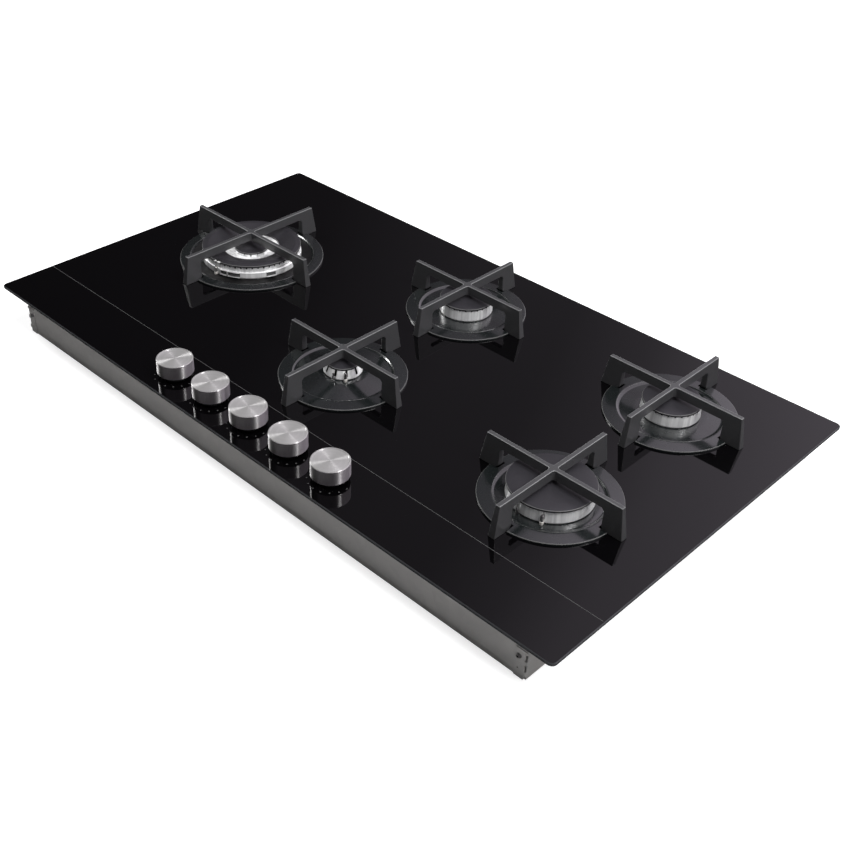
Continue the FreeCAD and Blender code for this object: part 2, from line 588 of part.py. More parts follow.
def tap_clamps():
    """Rear halves of the saddles, one behind each tap."""
    clamps = body("tap_clamps", FIRST_KNOB, RAIL_ROW)
    block = sketch(clamps, "YZ_Plane")
    rectangle(block, "Sizes.clamp_split", "Sizes.clamp_thickness",
              "Sizes.rail_level - Sizes.saddle_height / 2",
              "Sizes.rail_level + Sizes.saddle_height / 2")
    first = pad(clamps, block, "Sizes.saddle_width", symmetric=True)
    along(clamps, [first], "N_Axis", "(Sizes.knobs - 1) * Sizes.knob_pitch", "Sizes.knobs")
    seat = sketch(clamps, "YZ_Plane", "-Sizes.saddle_width")
    circle(seat, "0", "Sizes.rail_level", "Sizes.rail_radius")
    pocket(clamps, seat, "Sizes.knobs * Sizes.knob_pitch + Sizes.saddle_width", reverse=True)
    holes = sketch(clamps, "XZ_Plane")
    for index in range(len(KNOBS)):
        for sign in "+-":
            circle(holes, "%d * Sizes.knob_pitch" % index,
                   "Sizes.rail_level %s Sizes.clamp_screw_reach" % sign,
                   "Sizes.clamp_screw + Sizes.screw_hole_gap")
    pocket(clamps, holes, "Sizes.clamp_thickness + Sizes.cut_past")


def tap_screws():
    """Two screws behind each tap, from the clamp into the saddle."""
    screws = body("tap_screws", FIRST_KNOB, RAIL_ROW)
    shanks = sketch(screws, "XZ_Plane", "-Sizes.clamp_thickness")
    heads = sketch(screws, "XZ_Plane", "-Sizes.clamp_thickness")
    for sign in "+-":
        height = "Sizes.rail_level %s Sizes.clamp_screw_reach" % sign
        circle(shanks, "0", height, "Sizes.clamp_screw")
        circle(heads, "0", height, "Sizes.clamp_screw_head")
    shank = pad(screws, shanks, "Sizes.clamp_screw_length - Sizes.end_gap")
    head = pad(screws, heads, "Sizes.clamp_screw_cap", reverse=True)
    along(screws, [shank, head], "H_Axis", "(Sizes.knobs - 1) * Sizes.knob_pitch",
          "Sizes.knobs")


def stem_seals():
    seals = body("stem_seals", FIRST_KNOB, KNOB_ROW, GLASS_TOP)
    inner = "(Sizes.stem_radius + Sizes.stem_play)"
    plug = "(Sizes.stem_hole - Sizes.seat_gap)"
    first = turned(seals, (
        (inner, "-Sizes.seal_skirt"), (plug, "-Sizes.seal_skirt"), (plug, "0"),
        ("Sizes.seal_radius", "0"), ("Sizes.seal_radius - Sizes.seal_slope", "Sizes.seal_height"),
        (inner, "Sizes.seal_height")))
    along(seals, [first], "H_Axis", "(Sizes.knobs - 1) * Sizes.knob_pitch", "Sizes.knobs")


# ---------------------------------------------------------------- gas rail, inlet and pipes
def tube_along(points, bend, outer, inner):
    """A round tube on straight runs joined by tangent arcs, from sizes already worked out."""
    edges = []
    start = points[0]
    for before, corner, after in zip(points, points[1:], points[2:]):
        back = (before - corner).normalize()
        ahead = (after - corner).normalize()
        half = back.getAngle(ahead) / 2
        trim = bend / math.tan(half)
        arc_start = corner + back * trim
        arc_end = corner + ahead * trim
        middle = (back + ahead).normalize()
        arc_middle = corner + middle * (bend / math.sin(half) - bend)
        edges.append(Part.LineSegment(start, arc_start).toShape())
        edges.append(Part.Arc(arc_start, arc_middle, arc_end).toShape())
        start = arc_end
    edges.append(Part.LineSegment(start, points[-1]).toShape())
    spine = Part.Wire(edges)
    heading = (points[1] - points[0]).normalize()
    skins = []
    for radius in (outer, inner):
        ring = Part.Wire([Part.makeCircle(radius, points[0], heading)])
        skins.append(spine.makePipeShell([ring], True, False))
    return skins[0].cut(skins[1])


def gas_rail():
    """The rail that feeds the taps, bent back along the right side to the inlet."""
    start = FreeCAD.Vector(size(FIRST_KNOB) - size("Sizes.rail_overhang"), size(RAIL_ROW), 0)
    turn = FreeCAD.Vector(size(INLET_X), size(RAIL_ROW), 0)
    end = FreeCAD.Vector(size(INLET_X), size(INLET_Y) - size("Sizes.inlet_block / 2"), 0)
    outer = size("Sizes.rail_radius")
    tube = tube_along([start, turn, end], size("Sizes.rail_bend"), outer,
                      outer - size("Sizes.rail_wall"))
    stopper = Part.makeCylinder(outer, size("Sizes.rail_wall"), start, FreeCAD.Vector(1, 0, 0))
    item = DOC.addObject("Part::Feature", "gas_rail")
    item.Label = "gas_rail"
    item.Shape = tube.fuse(stopper).removeSplitter()
    place(item, z="Sizes.rail_level")
    NODES.append(item)


def rail_brackets():
    brackets = body("rail_brackets", FIRST_KNOB + " + Sizes.knob_pitch / 2", RAIL_ROW,
                    "Sizes.tray_sheet")
    side = sketch(brackets, "YZ_Plane")
    half_web = "Sizes.bracket_sheet / 2"
    half_foot = "Sizes.bracket_foot / 2"
    half_cradle = "Sizes.bracket_cradle / 2"
    axis = "(Sizes.rail_level - Sizes.tray_sheet)"
    low = "(%s - Sizes.rail_radius - Sizes.bracket_cradle_depth / 2)" % axis
    high = "(%s - Sizes.rail_radius + Sizes.bracket_cradle_depth / 2)" % axis
    outline(side, (
        ("-" + half_foot, "0"), (half_foot, "0"), (half_foot, "Sizes.bracket_sheet"),
        (half_web, "Sizes.bracket_sheet"), (half_web, low), (half_cradle, low),
        (half_cradle, high), ("-" + half_cradle, high), ("-" + half_cradle, low),
        ("-" + half_web, low), ("-" + half_web, "Sizes.bracket_sheet"),
        ("-" + half_foot, "Sizes.bracket_sheet")))
    first = pad(brackets, side, "Sizes.bracket_width", symmetric=True)
    along(brackets, [first], "N_Axis", "(Sizes.brackets - 1) * Sizes.bracket_pitch",
          "Sizes.brackets")
    cradle = sketch(brackets, "YZ_Plane", "-Sizes.bracket_width")
    circle(cradle, "0", axis, "Sizes.rail_radius")
    pocket(brackets, cradle, "Sizes.brackets * Sizes.bracket_pitch", reverse=True)


def gas_inlet():
    """Elbow block on the recess's roof, with a male pipe thread pointing down."""
    inlet = body("gas_inlet", INLET_X, INLET_Y, "Sizes.recess_height + Sizes.tray_sheet")
    square = sketch(inlet)
    framed(square, "Sizes.inlet_block", "Sizes.inlet_block")
    pad(inlet, square, "Sizes.inlet_block_height")
    neck = sketch(inlet)
    circle(neck, "0", "0", "Sizes.inlet_neck")
    pad(inlet, neck, "Sizes.inlet_neck_length", reverse=True)
    thread = sketch(inlet, lift="-Sizes.inlet_neck_length")
    circle(thread, "0", "0", "Sizes.inlet_thread_radius")
    pad(inlet, thread, "Sizes.inlet_thread_length", reverse=True)
    reach = "(Sizes.inlet_neck_length + Sizes.inlet_thread_length)"
    bore = sketch(inlet, lift="-" + reach)
    circle(bore, "0", "0", "Sizes.inlet_bore")
    axis = "(Sizes.rail_level - Sizes.recess_height - Sizes.tray_sheet)"
    pocket(inlet, bore, reach + " + " + axis, reverse=True)
    branch = sketch(inlet, "XZ_Plane")
    circle(branch, "0", axis, "Sizes.rail_radius - Sizes.rail_wall")
    pocket(inlet, branch, "Sizes.inlet_block / 2", reverse=True)


def feed_pipes():
    """Aluminium tubes from the taps to the cups, all in one level under the rail."""
    row = size(KNOB_ROW)
    seat = size("Sizes.outlet_seat")
    stop = size("Sizes.pipe_stop")
    second = size("Sizes.wok_second_boss")
    taps = [size(knob_x(number)) for number in KNOBS]
    wok_x, wok_y = size("Sizes.wok_x"), size("Sizes.wok_y")
    middle, right = size("Sizes.middle_x"), size("Sizes.right_x")
    front, rear = size("Sizes.front_y"), size("Sizes.rear_y")
    start = row + seat
    routes = (
        ((taps[0] - seat, row), (wok_x, row), (wok_x, wok_y - stop)),
        ((taps[0], start), (taps[0], wok_y), (wok_x + second + stop, wok_y)),
        ((taps[1], start), (taps[1], rear), (middle - stop, rear)),
        ((taps[2], start), (middle, front - stop)),
        ((taps[3], start), (taps[3], rear), (right - stop, rear)),
        ((taps[4], start), (taps[4], front), (right - stop, front)),
    )
    outer = size("Sizes.pipe_radius")
    pipes = []
    for route in routes:
        points = [FreeCAD.Vector(x, y, 0) for x, y in route]
        pipes.append(tube_along(points, size("Sizes.pipe_bend"), outer,
                                outer - size("Sizes.pipe_wall")))
    item = DOC.addObject("Part::Feature", "feed_pipes")
    item.Label = "feed_pipes"
    item.Shape = Part.makeCompound(pipes)
    place(item, z="Sizes.pipe_level")
    NODES.append(item)


# ---------------------------------------------------------------- burners
def hub_level(family):
    return "Sizes.%s_plate_hub" % family


def head_floor(family):
    return "(Sizes.%s_plate_hub + Sizes.cup_flange)" % family


def burner_cup(name, x, y, family, side):
    """Cast cup under the glass, hung by a flange that clamps the enamelled plate."""
    cup = body("burner_cup_" + name, x, y)
    outside = "Sizes.%s_cup" % family
    slope_top = "(Sizes.cup_boss_top + Sizes.cup_slope)"
    under = "(%s + %s)" % (GLASS_TOP, hub_level(family))
    flange = "(Sizes.%s_head - Sizes.cup_flange_inset)" % family
    inside = "(%s - Sizes.cup_wall)" % outside
    turned(cup, (
        ("0", "Sizes.cup_foot"), ("Sizes.cup_boss", "Sizes.cup_foot"),
        ("Sizes.cup_boss", "Sizes.cup_boss_top"), (outside, slope_top), (outside, under),
        (flange, under), (flange, under + " + Sizes.cup_flange"),
        (inside, under + " + Sizes.cup_flange"), (inside, slope_top + " + Sizes.cup_wall"),
        ("Sizes.cup_throat", "Sizes.cup_boss_top + Sizes.cup_wall"),
        ("0", "Sizes.cup_boss_top + Sizes.cup_wall")))
    seat = "(Sizes.cup_boss_top + Sizes.cup_wall)"
    if family == "wok":
        second = sketch(cup, lift="Sizes.cup_foot")
        circle(second, "Sizes.wok_second_boss", "0", "Sizes.cup_boss")
        pad(cup, second, "Sizes.wok_second_seat - Sizes.cup_foot")
        side_bore = sketch(cup, "YZ_Plane", "Sizes.wok_second_boss")
        circle(side_bore, "0", "Sizes.pipe_level", "Sizes.pipe_radius")
        pocket(cup, side_bore, "Sizes.cup_boss", reverse=True)
        second_seat = sketch(cup, lift="Sizes.wok_second_seat")
        circle(second_seat, "Sizes.wok_second_boss", "0", "Sizes.injector_shank")
        pocket(cup, second_seat, "Sizes.wok_second_seat - Sizes.pipe_level")
    gas_bore = sketch(cup, "XZ_Plane" if side == "front" else "YZ_Plane")
    circle(gas_bore, "0", "Sizes.pipe_level", "Sizes.pipe_radius")
    pocket(cup, gas_bore, "Sizes.cup_boss", reverse=(side == "front"))
    jet_seat = sketch(cup, lift=seat)
    circle(jet_seat, "0", "0", "Sizes.injector_shank")
    pocket(cup, jet_seat, seat + " - Sizes.pipe_level")


def injector(name, x, y, foot):
    """A brass jet: six-sided body, shank in the cup's boss and a fine hole."""
    jet = body("injector_" + name, x, y, foot, node=False)
    inscribed = "(Sizes.injector_radius * cos(180 deg / Sizes.injector_corners))"
    turned(jet, (
        ("Sizes.injector_hole", "-Sizes.injector_depth"),
        ("Sizes.injector_shank - Sizes.running_gap", "-Sizes.injector_depth"),
        ("Sizes.injector_shank - Sizes.running_gap", "0"), ("Sizes.injector_radius", "0"),
        ("Sizes.injector_radius", "Sizes.injector_height - Sizes.injector_cone"),
        (inscribed, "Sizes.injector_height - Sizes.injector_cone"),
        ("Sizes.injector_radius / 2", "Sizes.injector_height"),
        ("Sizes.injector_hole", "Sizes.injector_height")))
    flat = sketch(jet)
    rectangle(flat, inscribed, "Sizes.injector_radius + Sizes.cut_past",
              "-Sizes.injector_radius", "Sizes.injector_radius")
    cut = pocket(jet, flat, "Sizes.injector_height - Sizes.injector_cone", reverse=True)
    around(jet, cut, "Sizes.injector_corners")
    return jet


def injectors():
    seat = "(Sizes.cup_boss_top + Sizes.cup_wall)"
    jets = [injector(name, x, y, seat) for name, x, y, family, side in BURNERS]
    jets.append(injector("wok_second", "Sizes.wok_x + Sizes.wok_second_boss", "Sizes.wok_y",
                         "Sizes.wok_second_seat"))
    group("injectors", jets)


def burner_plate(name, x, y, family):
    """Pressed and enamelled plate: rolled rim, raised step ring, dish and hub."""
    plate = body("burner_plate_" + name, x, y, GLASS_TOP)
    large = "wok_" if family == "wok" else ""
    rim = "Sizes.%splate_radius" % large
    step = "Sizes.%splate_step" % large
    sheet = "Sizes.plate_sheet"
    hub = hub_level(family)
    crest = "Sizes.plate_crest"
    dish = "Sizes.plate_dish"
    inner_step = "(%s - Sizes.plate_step_run)" % step
    outer_step = "(%s + Sizes.plate_crest_width)" % step
    hub_edge = "(Sizes.%s_head + Sizes.plate_hub_margin)" % family
    bore = "(Sizes.%s_cup + Sizes.plate_bore_gap)" % family
    top = (
        (rim, "0"), (rim, "Sizes.plate_rim - Sizes.plate_roll"),
        (rim + " - Sizes.plate_roll", "Sizes.plate_rim"), (outer_step, crest), (step, crest),
        (inner_step, dish), (hub_edge, hub), (bore, hub))
    underside = (
        (bore, hub + " - " + sheet), (hub_edge, hub + " - " + sheet),
        (inner_step + " - Sizes.plate_step_lean", dish + " - " + sheet),
        (step, crest + " - " + sheet), (outer_step, crest + " - " + sheet),
        (rim + " - " + sheet, "Sizes.plate_rim - " + sheet), (rim + " - " + sheet, "0"))
    turned(plate, top + underside)
    notch = sketch(plate, lift="0")
    reach = "Sizes.%ssupport_reach" % large
    foot = "(%s + Sizes.support_splay - Sizes.support_leg)" % reach
    rectangle(notch, foot + " - Sizes.plate_notch_gap", rim + " + Sizes.cut_past",
              "-Sizes.support_foot / 2 - Sizes.plate_notch_gap",
              "Sizes.support_foot / 2 + Sizes.plate_notch_gap")
    cut = pocket(plate, notch, crest, reverse=True)
    around(plate, cut, "4")


def burner_head(name, x, y, family):
    """Cast flame ring with a skirt in the cup and slots under the cap's edge."""
    head = body("burner_head_" + name, x, y, GLASS_TOP)
    edge = "Sizes.%s_head" % family
    top = "Sizes.%s_head_top" % family
    floor = head_floor(family)
    taper = "Sizes.simmer_taper" if family == "simmer" else "Sizes.head_taper"
    rim_outside = "(%s - %s)" % (edge, taper)
    rim_inside = "(%s - %s - Sizes.head_rim)" % (edge, taper)
    large = "wok_" if family == "wok" else ""
    deck = "(%s - Sizes.%shead_recess)" % (top, large)
    ceiling = "(%s - Sizes.%shead_deck)" % (deck, large)
    skirt_outside = "(Sizes.%s_cup - Sizes.cup_wall - Sizes.seat_gap)" % family
    skirt_inside = "(%s - Sizes.skirt_wall)" % skirt_outside
    skirt_foot = "(%s - Sizes.head_skirt)" % floor
    wall_inside = "(%s - Sizes.head_wall)" % edge
    below = (
        ("Sizes.head_throat", ceiling), (skirt_inside, ceiling), (skirt_inside, skirt_foot),
        (skirt_outside, skirt_foot), (skirt_outside, ceiling), (wall_inside, ceiling),
        (wall_inside, floor), (edge, floor))
    if family == "wok":
        turned(head, wok_head_top(edge, top, deck, rim_inside) + below)
        wok_head_cuts(head, edge, top, floor)
    else:
        above = ((rim_outside, top), (rim_inside, top), (rim_inside, deck),
                 ("Sizes.head_throat", deck))
        turned(head, above + below)
        flame_ports(head, family, edge, top, rim_inside)
    for angle in post_angles(family):
        groove = sketch(head, lift=floor)
        circle(groove, "%s + Sizes.post_offset" % edge, "0",
               "Sizes.igniter_radius + Sizes.post_gap")
        bind(groove, AttachmentOffset__Rotation__Angle=angle)
        pocket(head, groove, top, reverse=True)


def post_angles(family):
    """Angles about the burner's axis of its igniter and its flame sensor."""
    igniter = "Sizes.%s_igniter_angle" % family
    return igniter, "(%s + Sizes.sensor_angle)" % igniter


def wok_head_top(edge, top, deck, rim_inside):
    """Upper side of the large head: stepped outer ring, then a cone down to an inner ring."""
    tier = "Sizes.wok_tier"
    narrow = "(%s - Sizes.wok_tier_step)" % edge
    ring = "Sizes.wok_inner_ring"
    ring_top = "Sizes.wok_inner_top"
    ring_inside = "(Sizes.wok_inner_ring - Sizes.wok_inner_wall)"
    valley = "(Sizes.wok_inner_top - Sizes.wok_port_depth)"
    well = "(Sizes.wok_inner_top - Sizes.head_recess)"
    return (
        (edge, tier), (narrow, tier), (narrow, top), (rim_inside, top), (rim_inside, deck),
        ("Sizes.wok_crown", deck), (ring + " + Sizes.wok_crown_gap", valley), (ring, valley),
        (ring, ring_top),
        (ring_inside, ring_top), (ring_inside, well), ("Sizes.head_throat", well))


def wok_head_cuts(head, edge, top, floor):
    past = " + Sizes.cut_past"
    ports = sketch(head, lift=top)
    rectangle(ports, "%s - Sizes.head_taper - Sizes.head_rim - Sizes.cut_past" % edge,
              edge + past, "-Sizes.port_width / 2", "Sizes.port_width / 2")
    around(head, pocket(head, ports, "Sizes.wok_port_depth"), "Sizes.wok_ports")
    inner = sketch(head, lift="Sizes.wok_inner_top")
    rectangle(inner, "Sizes.wok_inner_ring - Sizes.wok_inner_wall - Sizes.cut_past",
              "Sizes.wok_inner_ring" + past, "-Sizes.port_width / 2", "Sizes.port_width / 2")
    around(head, pocket(head, inner, "Sizes.wok_port_depth"), "Sizes.wok_inner_ports")
    for name in ("first", "second", "third"):
        window = sketch(head, lift=floor + " + Sizes.wok_window_foot")
        half = "Sizes.%s_window_width / 2" % name
        rectangle(window, edge + " - Sizes.wok_window_depth", edge + past, "-" + half, half)
        bind(window, AttachmentOffset__Rotation__Angle="Sizes.%s_window_angle" % name)
        around(head, pocket(head, window, "Sizes.wok_window_height", reverse=True),
               "Sizes.windows_round")


def flame_ports(head, family, edge, top, rim_inside):
    """Slots under the cap's edge: wide and deep ones between the teeth of the smallest head."""
    small = "simmer_" if family == "simmer" else ""
    ports = sketch(head, lift=top)
    root = edge + " - Sizes.simmer_port_reach" if small else rim_inside + " - Sizes.cut_past"
    rectangle(ports, root, edge + " + Sizes.cut_past", "-Sizes.%sport_width / 2" % small,
              "Sizes.%sport_width / 2" % small)
    cut = pocket(head, ports, "Sizes.%sport_depth" % small)
    around(head, cut, "Sizes.%s_ports" % family)


def cap_rim(radius, seat, spigot):
    """Outer part of a cap's half section: bevelled edge, seat and locating spigot."""
    edge = "(%s + Sizes.cap_edge)" % seat
    foot = "(%s - Sizes.cap_spigot)" % seat
    web = "(%s - Sizes.cap_web)" % spigot
    return (
        ("%s - Sizes.cap_shoulder" % radius, edge + " + Sizes.cap_crown / 2"),
        (radius + " - Sizes.cap_bevel", edge), (radius, edge + " - Sizes.cap_bevel"),
        (radius, seat), (spigot, seat), (spigot, foot), (web, foot))


def disc_cap(cap, radius, seat, spigot):
    """Enamelled disc with a low crown."""
    crown = "(%s + Sizes.cap_edge + Sizes.cap_crown)" % seat
    ceiling = "(%s + Sizes.cap_bevel)" % seat
    web = "(%s - Sizes.cap_web)" % spigot
    rim = cap_rim(radius, seat, spigot)
    turned(cap, (("0", crown),) + rim + ((web, ceiling), ("0", ceiling)))


def ring_cap(cap, seat, spigot):
    """Enamelled ring that dips from a crest near its edge to the opening in its middle."""
    crest = "(%s + Sizes.cap_edge + Sizes.cap_crown)" % seat
    web = "(%s - Sizes.cap_web)" % spigot
    low = "(%s - Sizes.wok_head_recess + Sizes.ring_cap_gap)" % seat
    inner = "Sizes.wok_crown"
    rim = cap_rim("Sizes.wok_cap", seat, spigot)
    turned(cap, ((inner, low + " + Sizes.ring_cap_sheet"), ("Sizes.ring_cap_crest", crest))
           + rim + ((web, seat), (inner, low)))


def burner_cap(name, x, y, family):
    cap = body("burner_cap_" + name, x, y, GLASS_TOP)
    taper = "Sizes.simmer_taper" if family == "simmer" else "Sizes.head_taper"
    spigot = ("(Sizes.%s_head - %s - Sizes.head_rim - Sizes.cap_spigot_gap)" % (family, taper))
    seat = "Sizes.%s_head_top" % family
    if family != "wok":
        disc_cap(cap, "Sizes.%s_cap" % family, seat, spigot)
        return
    ring_cap(cap, seat, spigot)
    notch = sketch(cap, lift=seat + " + Sizes.cap_edge + Sizes.cap_crown")
    reach = "(Sizes.wok_cap - Sizes.cap_notch_depth)"
    rectangle(notch, reach, "Sizes.wok_cap + Sizes.cut_past", "-Sizes.cap_notch_width / 2",
              "Sizes.cap_notch_width / 2")
    bind(notch, AttachmentOffset__Rotation__Angle="Sizes.cap_notch_angle")
    pocket(cap, notch, "Sizes.cap_edge + Sizes.cap_crown")


def inner_cap():
    cap = body("burner_cap_wok_inner", "Sizes.wok_x", "Sizes.wok_y", GLASS_TOP)
    spigot = "(Sizes.wok_inner_ring - Sizes.wok_inner_wall - Sizes.cap_spigot_gap)"
    disc_cap(cap, "Sizes.wok_inner_cap", "Sizes.wok_inner_top", spigot)


def post(label, x, y, family, angle, radius, height, foot):
    """A round post beside a head, at an angle about the burner's axis."""
    item = DOC.addObject("Part::Cylinder", label)
    bind(item, Radius=radius, Height=height)
    reach = "(Sizes.%s_head + Sizes.post_offset)" % family
    place(item, "%s + %s * cos(%s * 1 deg)" % (x, reach, angle),
          "%s + %s * sin(%s * 1 deg)" % (y, reach, angle), foot)
    return item


def igniters_and_sensors():
    """Ceramic igniters with steel tips, and the flame sensors beside them."""
    igniters = []
    sensors = []
    for name, x, y, family, side in BURNERS:
        angle, sensor_angle = post_angles(family)
        foot = "%s + %s" % (GLASS_TOP, hub_level(family))
        ceramic = post("igniter_ceramic_" + name, x, y, family, angle,
                       "Sizes.igniter_radius", "Sizes.igniter_height", foot)
        tip = post("igniter_tip_" + name, x, y, family, angle, "Sizes.igniter_tip",
                   "Sizes.igniter_height + Sizes.igniter_tip_height", foot)
        pair = DOC.addObject("Part::MultiFuse", "igniter_" + name)
        pair.Shapes = [ceramic, tip]
        igniters.append(pair)
        sensors.append(post("sensor_" + name, x, y, family, sensor_angle,
                            "Sizes.sensor_radius", "Sizes.sensor_height", foot))
    group("igniters", igniters)
    group("flame_sensors", sensors)


# ---------------------------------------------------------------- pan supports
def pan_support(name, x, y, family):
    """Cast cross: drafted bars, thin on top, on four legs that splay out to the glass."""
    support = body("pan_support_" + name, x, y, GLASS_TOP)
    large = "wok_" if family == "wok" else ""
    reach = "Sizes.%ssupport_reach" % large
    top = "Sizes.support_height"
    toe = "(%s + Sizes.support_splay)" % reach
    heel = "(%s - Sizes.support_leg)" % toe
    cross = sketch(support)
    half = "(Sizes.support_foot / 2)"
    outline(cross, (
        (toe, "-" + half), (toe, half), (half, half), (half, toe), ("-" + half, toe),
        ("-" + half, half), ("-" + toe, half), ("-" + toe, "-" + half),
        ("-" + half, "-" + half), ("-" + half, "-" + toe), (half, "-" + toe),
        (half, "-" + half)))
    drafted = pad(support, cross, top)
    bind(drafted, TaperAngle="-atan((Sizes.support_foot - Sizes.support_bar) / 2 / %s)" % top)
    hollow_below(support, heel)
    ends = sketch(support, "XZ_Plane")
    past = " + 2 * Sizes.cut_past"
    outline(ends, ((reach, top), (toe, "0"), (toe + past, "0"), (toe + past, top)))
    outline(ends, ((heel, "0"), (heel + " + Sizes.support_toe", "0"), (heel, "Sizes.support_toe")))
    ending = pocket(support, ends, "2 * Sizes.support_foot", symmetric=True)
    around(support, ending, "4", "V_Axis")
    soften_cross(support)


def hollow_below(support, heel):
    """Clears the room under both bars, between the legs."""
    under = "(Sizes.support_height - Sizes.support_bar_depth)"
    near = "(%s - Sizes.support_crotch)" % heel
    half = ((heel, "0"), (heel, under + " - Sizes.support_crotch"), (near, under))
    other = tuple(("-(%s)" % across, height) for across, height in reversed(half))
    for role in ("XZ_Plane", "YZ_Plane"):
        room = sketch(support, role)
        outline(room, half + other)
        pocket(support, room, "2 * " + near, symmetric=True)


def soften_cross(support):
    """Rounds the four inner corners of the cross, then the edges of its top."""
    height = size("Sizes.support_height")
    near = height + size("Sizes.support_foot")

    def inner(edge):
        box = edge.BoundBox
        steep = box.ZLength > max(box.XLength, box.YLength)
        return steep and box.Center.Length < near

    rounded(support, inner, "Sizes.support_fillet")
    rounded(support, lambda edge: level(edge, height), "Sizes.support_edge")


# ---------------------------------------------------------------- electrical pieces
def ignition_module():
    """Spark generator on the tray's floor, with a row of lead sockets."""
    module = body("ignition_module", "Sizes.module_x",
                  "Sizes.tray_depth / 2 - Sizes.module_inset", "Sizes.tray_sheet")
    base = sketch(module)
    framed(base, "Sizes.module_width", "Sizes.module_depth")
    pad(module, base, "Sizes.module_height")
    rounded(module, upright, "Sizes.box_rounding")
    sockets = sketch(module, lift="Sizes.module_height")
    for index in range(len(KNOBS)):
        circle(sockets, "(%d - 2) * Sizes.module_width / 6" % index, "0",
               "Sizes.igniter_radius")
    pad(module, sockets, "Sizes.igniter_radius * 2")


def terminal_box():
    box = body("terminal_box", "Sizes.terminal_x",
               "Sizes.tray_depth / 2 - Sizes.tray_sheet - Sizes.gland_inside"
               " - Sizes.terminal_gap - Sizes.terminal_depth / 2", "Sizes.tray_sheet")
    base = sketch(box)
    framed(base, "Sizes.terminal_width", "Sizes.terminal_depth")
    pad(box, base, "Sizes.terminal_height")
    rounded(box, upright, "Sizes.box_rounding")
    entry = sketch(box, "XZ_Plane")
    circle(entry, "0", "Sizes.gland_level - Sizes.tray_sheet", "Sizes.gland_bore")
    pocket(box, entry, "Sizes.terminal_depth / 2")


def cable_gland():
    """Gland in the back wall for the mains lead, with its locknut inside."""
    gland = body("cable_gland", "Sizes.terminal_x", "Sizes.tray_depth / 2 - Sizes.tray_sheet")
    stages = (
        ("Sizes.gland_nut", "0", "Sizes.gland_flange"),
        ("Sizes.gland_thread", "-Sizes.tray_sheet - Sizes.gland_inside", "Sizes.gland_outside"),
        ("Sizes.gland_nut", "-Sizes.tray_sheet - Sizes.gland_flange", "-Sizes.tray_sheet"),
    )
    for radius, inner, outer in stages:
        ring = sketch(gland, "XZ_Plane", "-(%s)" % outer)
        circle(ring, "0", "Sizes.gland_level", radius)
        pad(gland, ring, "(%s) - (%s)" % (outer, inner))
    bore = sketch(gland, "XZ_Plane")
    circle(bore, "0", "Sizes.gland_level", "Sizes.gland_bore")
    pocket(gland, bore, "2 * (Sizes.gland_outside + Sizes.gland_inside + Sizes.tray_sheet)",
           symmetric=True)


# ---------------------------------------------------------------- assembly
def build():
    glass_top()
    base_tray()
    glass_bead()
    case_screws()
    for number in KNOBS:
        knob(number)
        tap_stem(number)
        tap_plug(number)
    group("tap_bodies", [tap_body(number) for number in KNOBS])
    tap_clamps()
    tap_screws()
    stem_seals()
    gas_rail()
    rail_brackets()
    gas_inlet()
    feed_pipes()
    for name, x, y, family, side in BURNERS:
        burner_cup(name, x, y, family, side)
        burner_plate(name, x, y, family)
        burner_head(name, x, y, family)
        burner_cap(name, x, y, family)
        pan_support(name, x, y, family)
    inner_cap()
    injectors()
    igniters_and_sensors()
    ignition_module()
    terminal_box()
    cable_gland()
    DOC.recompute()


def check():
    """Stops the build if any object failed or any piece has no sound shape."""
    for item in DOC.Objects:
        if "Invalid" in item.State or "Error" in item.State:
            raise RuntimeError("%s failed: %s" % (item.Name, item.State))
    for node in NODES:
        if node.Shape.isNull() or not node.Shape.isValid():
            raise RuntimeError("%s has no valid shape" % node.Label)


def write():
    os.makedirs("parts", exist_ok=True)
    for node in NODES:
        node.Shape.exportStep("parts/%s.step" % node.Label)
        print("%-26s solids %2d  volume %12.1f" % (node.Label, len(node.Shape.Solids),
                                                   node.Shape.Volume))


build()
check()
write()
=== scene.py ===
import json
import math

import bmesh
import bpy
from bpy.props import FloatProperty, FloatVectorProperty, IntProperty, PointerProperty
from mathutils import Matrix, Vector


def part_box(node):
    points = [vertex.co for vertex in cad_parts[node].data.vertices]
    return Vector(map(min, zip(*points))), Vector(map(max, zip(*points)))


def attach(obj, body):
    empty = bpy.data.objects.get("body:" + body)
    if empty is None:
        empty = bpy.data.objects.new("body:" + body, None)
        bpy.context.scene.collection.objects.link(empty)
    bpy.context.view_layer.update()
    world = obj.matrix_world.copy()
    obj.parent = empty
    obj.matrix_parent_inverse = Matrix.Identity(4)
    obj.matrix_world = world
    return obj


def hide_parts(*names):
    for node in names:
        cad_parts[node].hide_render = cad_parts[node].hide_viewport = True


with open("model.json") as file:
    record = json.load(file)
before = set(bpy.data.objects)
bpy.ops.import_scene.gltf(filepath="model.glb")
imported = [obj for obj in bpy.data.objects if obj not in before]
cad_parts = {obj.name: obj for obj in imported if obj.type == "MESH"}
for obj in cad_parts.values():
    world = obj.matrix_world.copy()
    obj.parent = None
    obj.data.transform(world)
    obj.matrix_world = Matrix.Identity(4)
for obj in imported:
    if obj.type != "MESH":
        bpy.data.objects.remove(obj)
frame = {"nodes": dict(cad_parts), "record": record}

bl_info = {
    "name": "Gas cooktop",
    "version": (1, 0, 0),
    "blender": (4, 5, 0),
    "location": "3D View > Sidebar > Cooktop",
    "description": "Dresses a five burner glass cooktop around its packed solids",
    "category": "Object",
}

MM = 0.001
MERGE = 0.000002
NEAR = 0.00005
SHARP = math.radians(32)
FULL_TURN = 2 * math.pi

# Steps of the turned shapes.
ROUND_STEPS = 128
PLATE_STEPS = 160
RING_CAP_STEPS = 432
POST_STEPS = 24

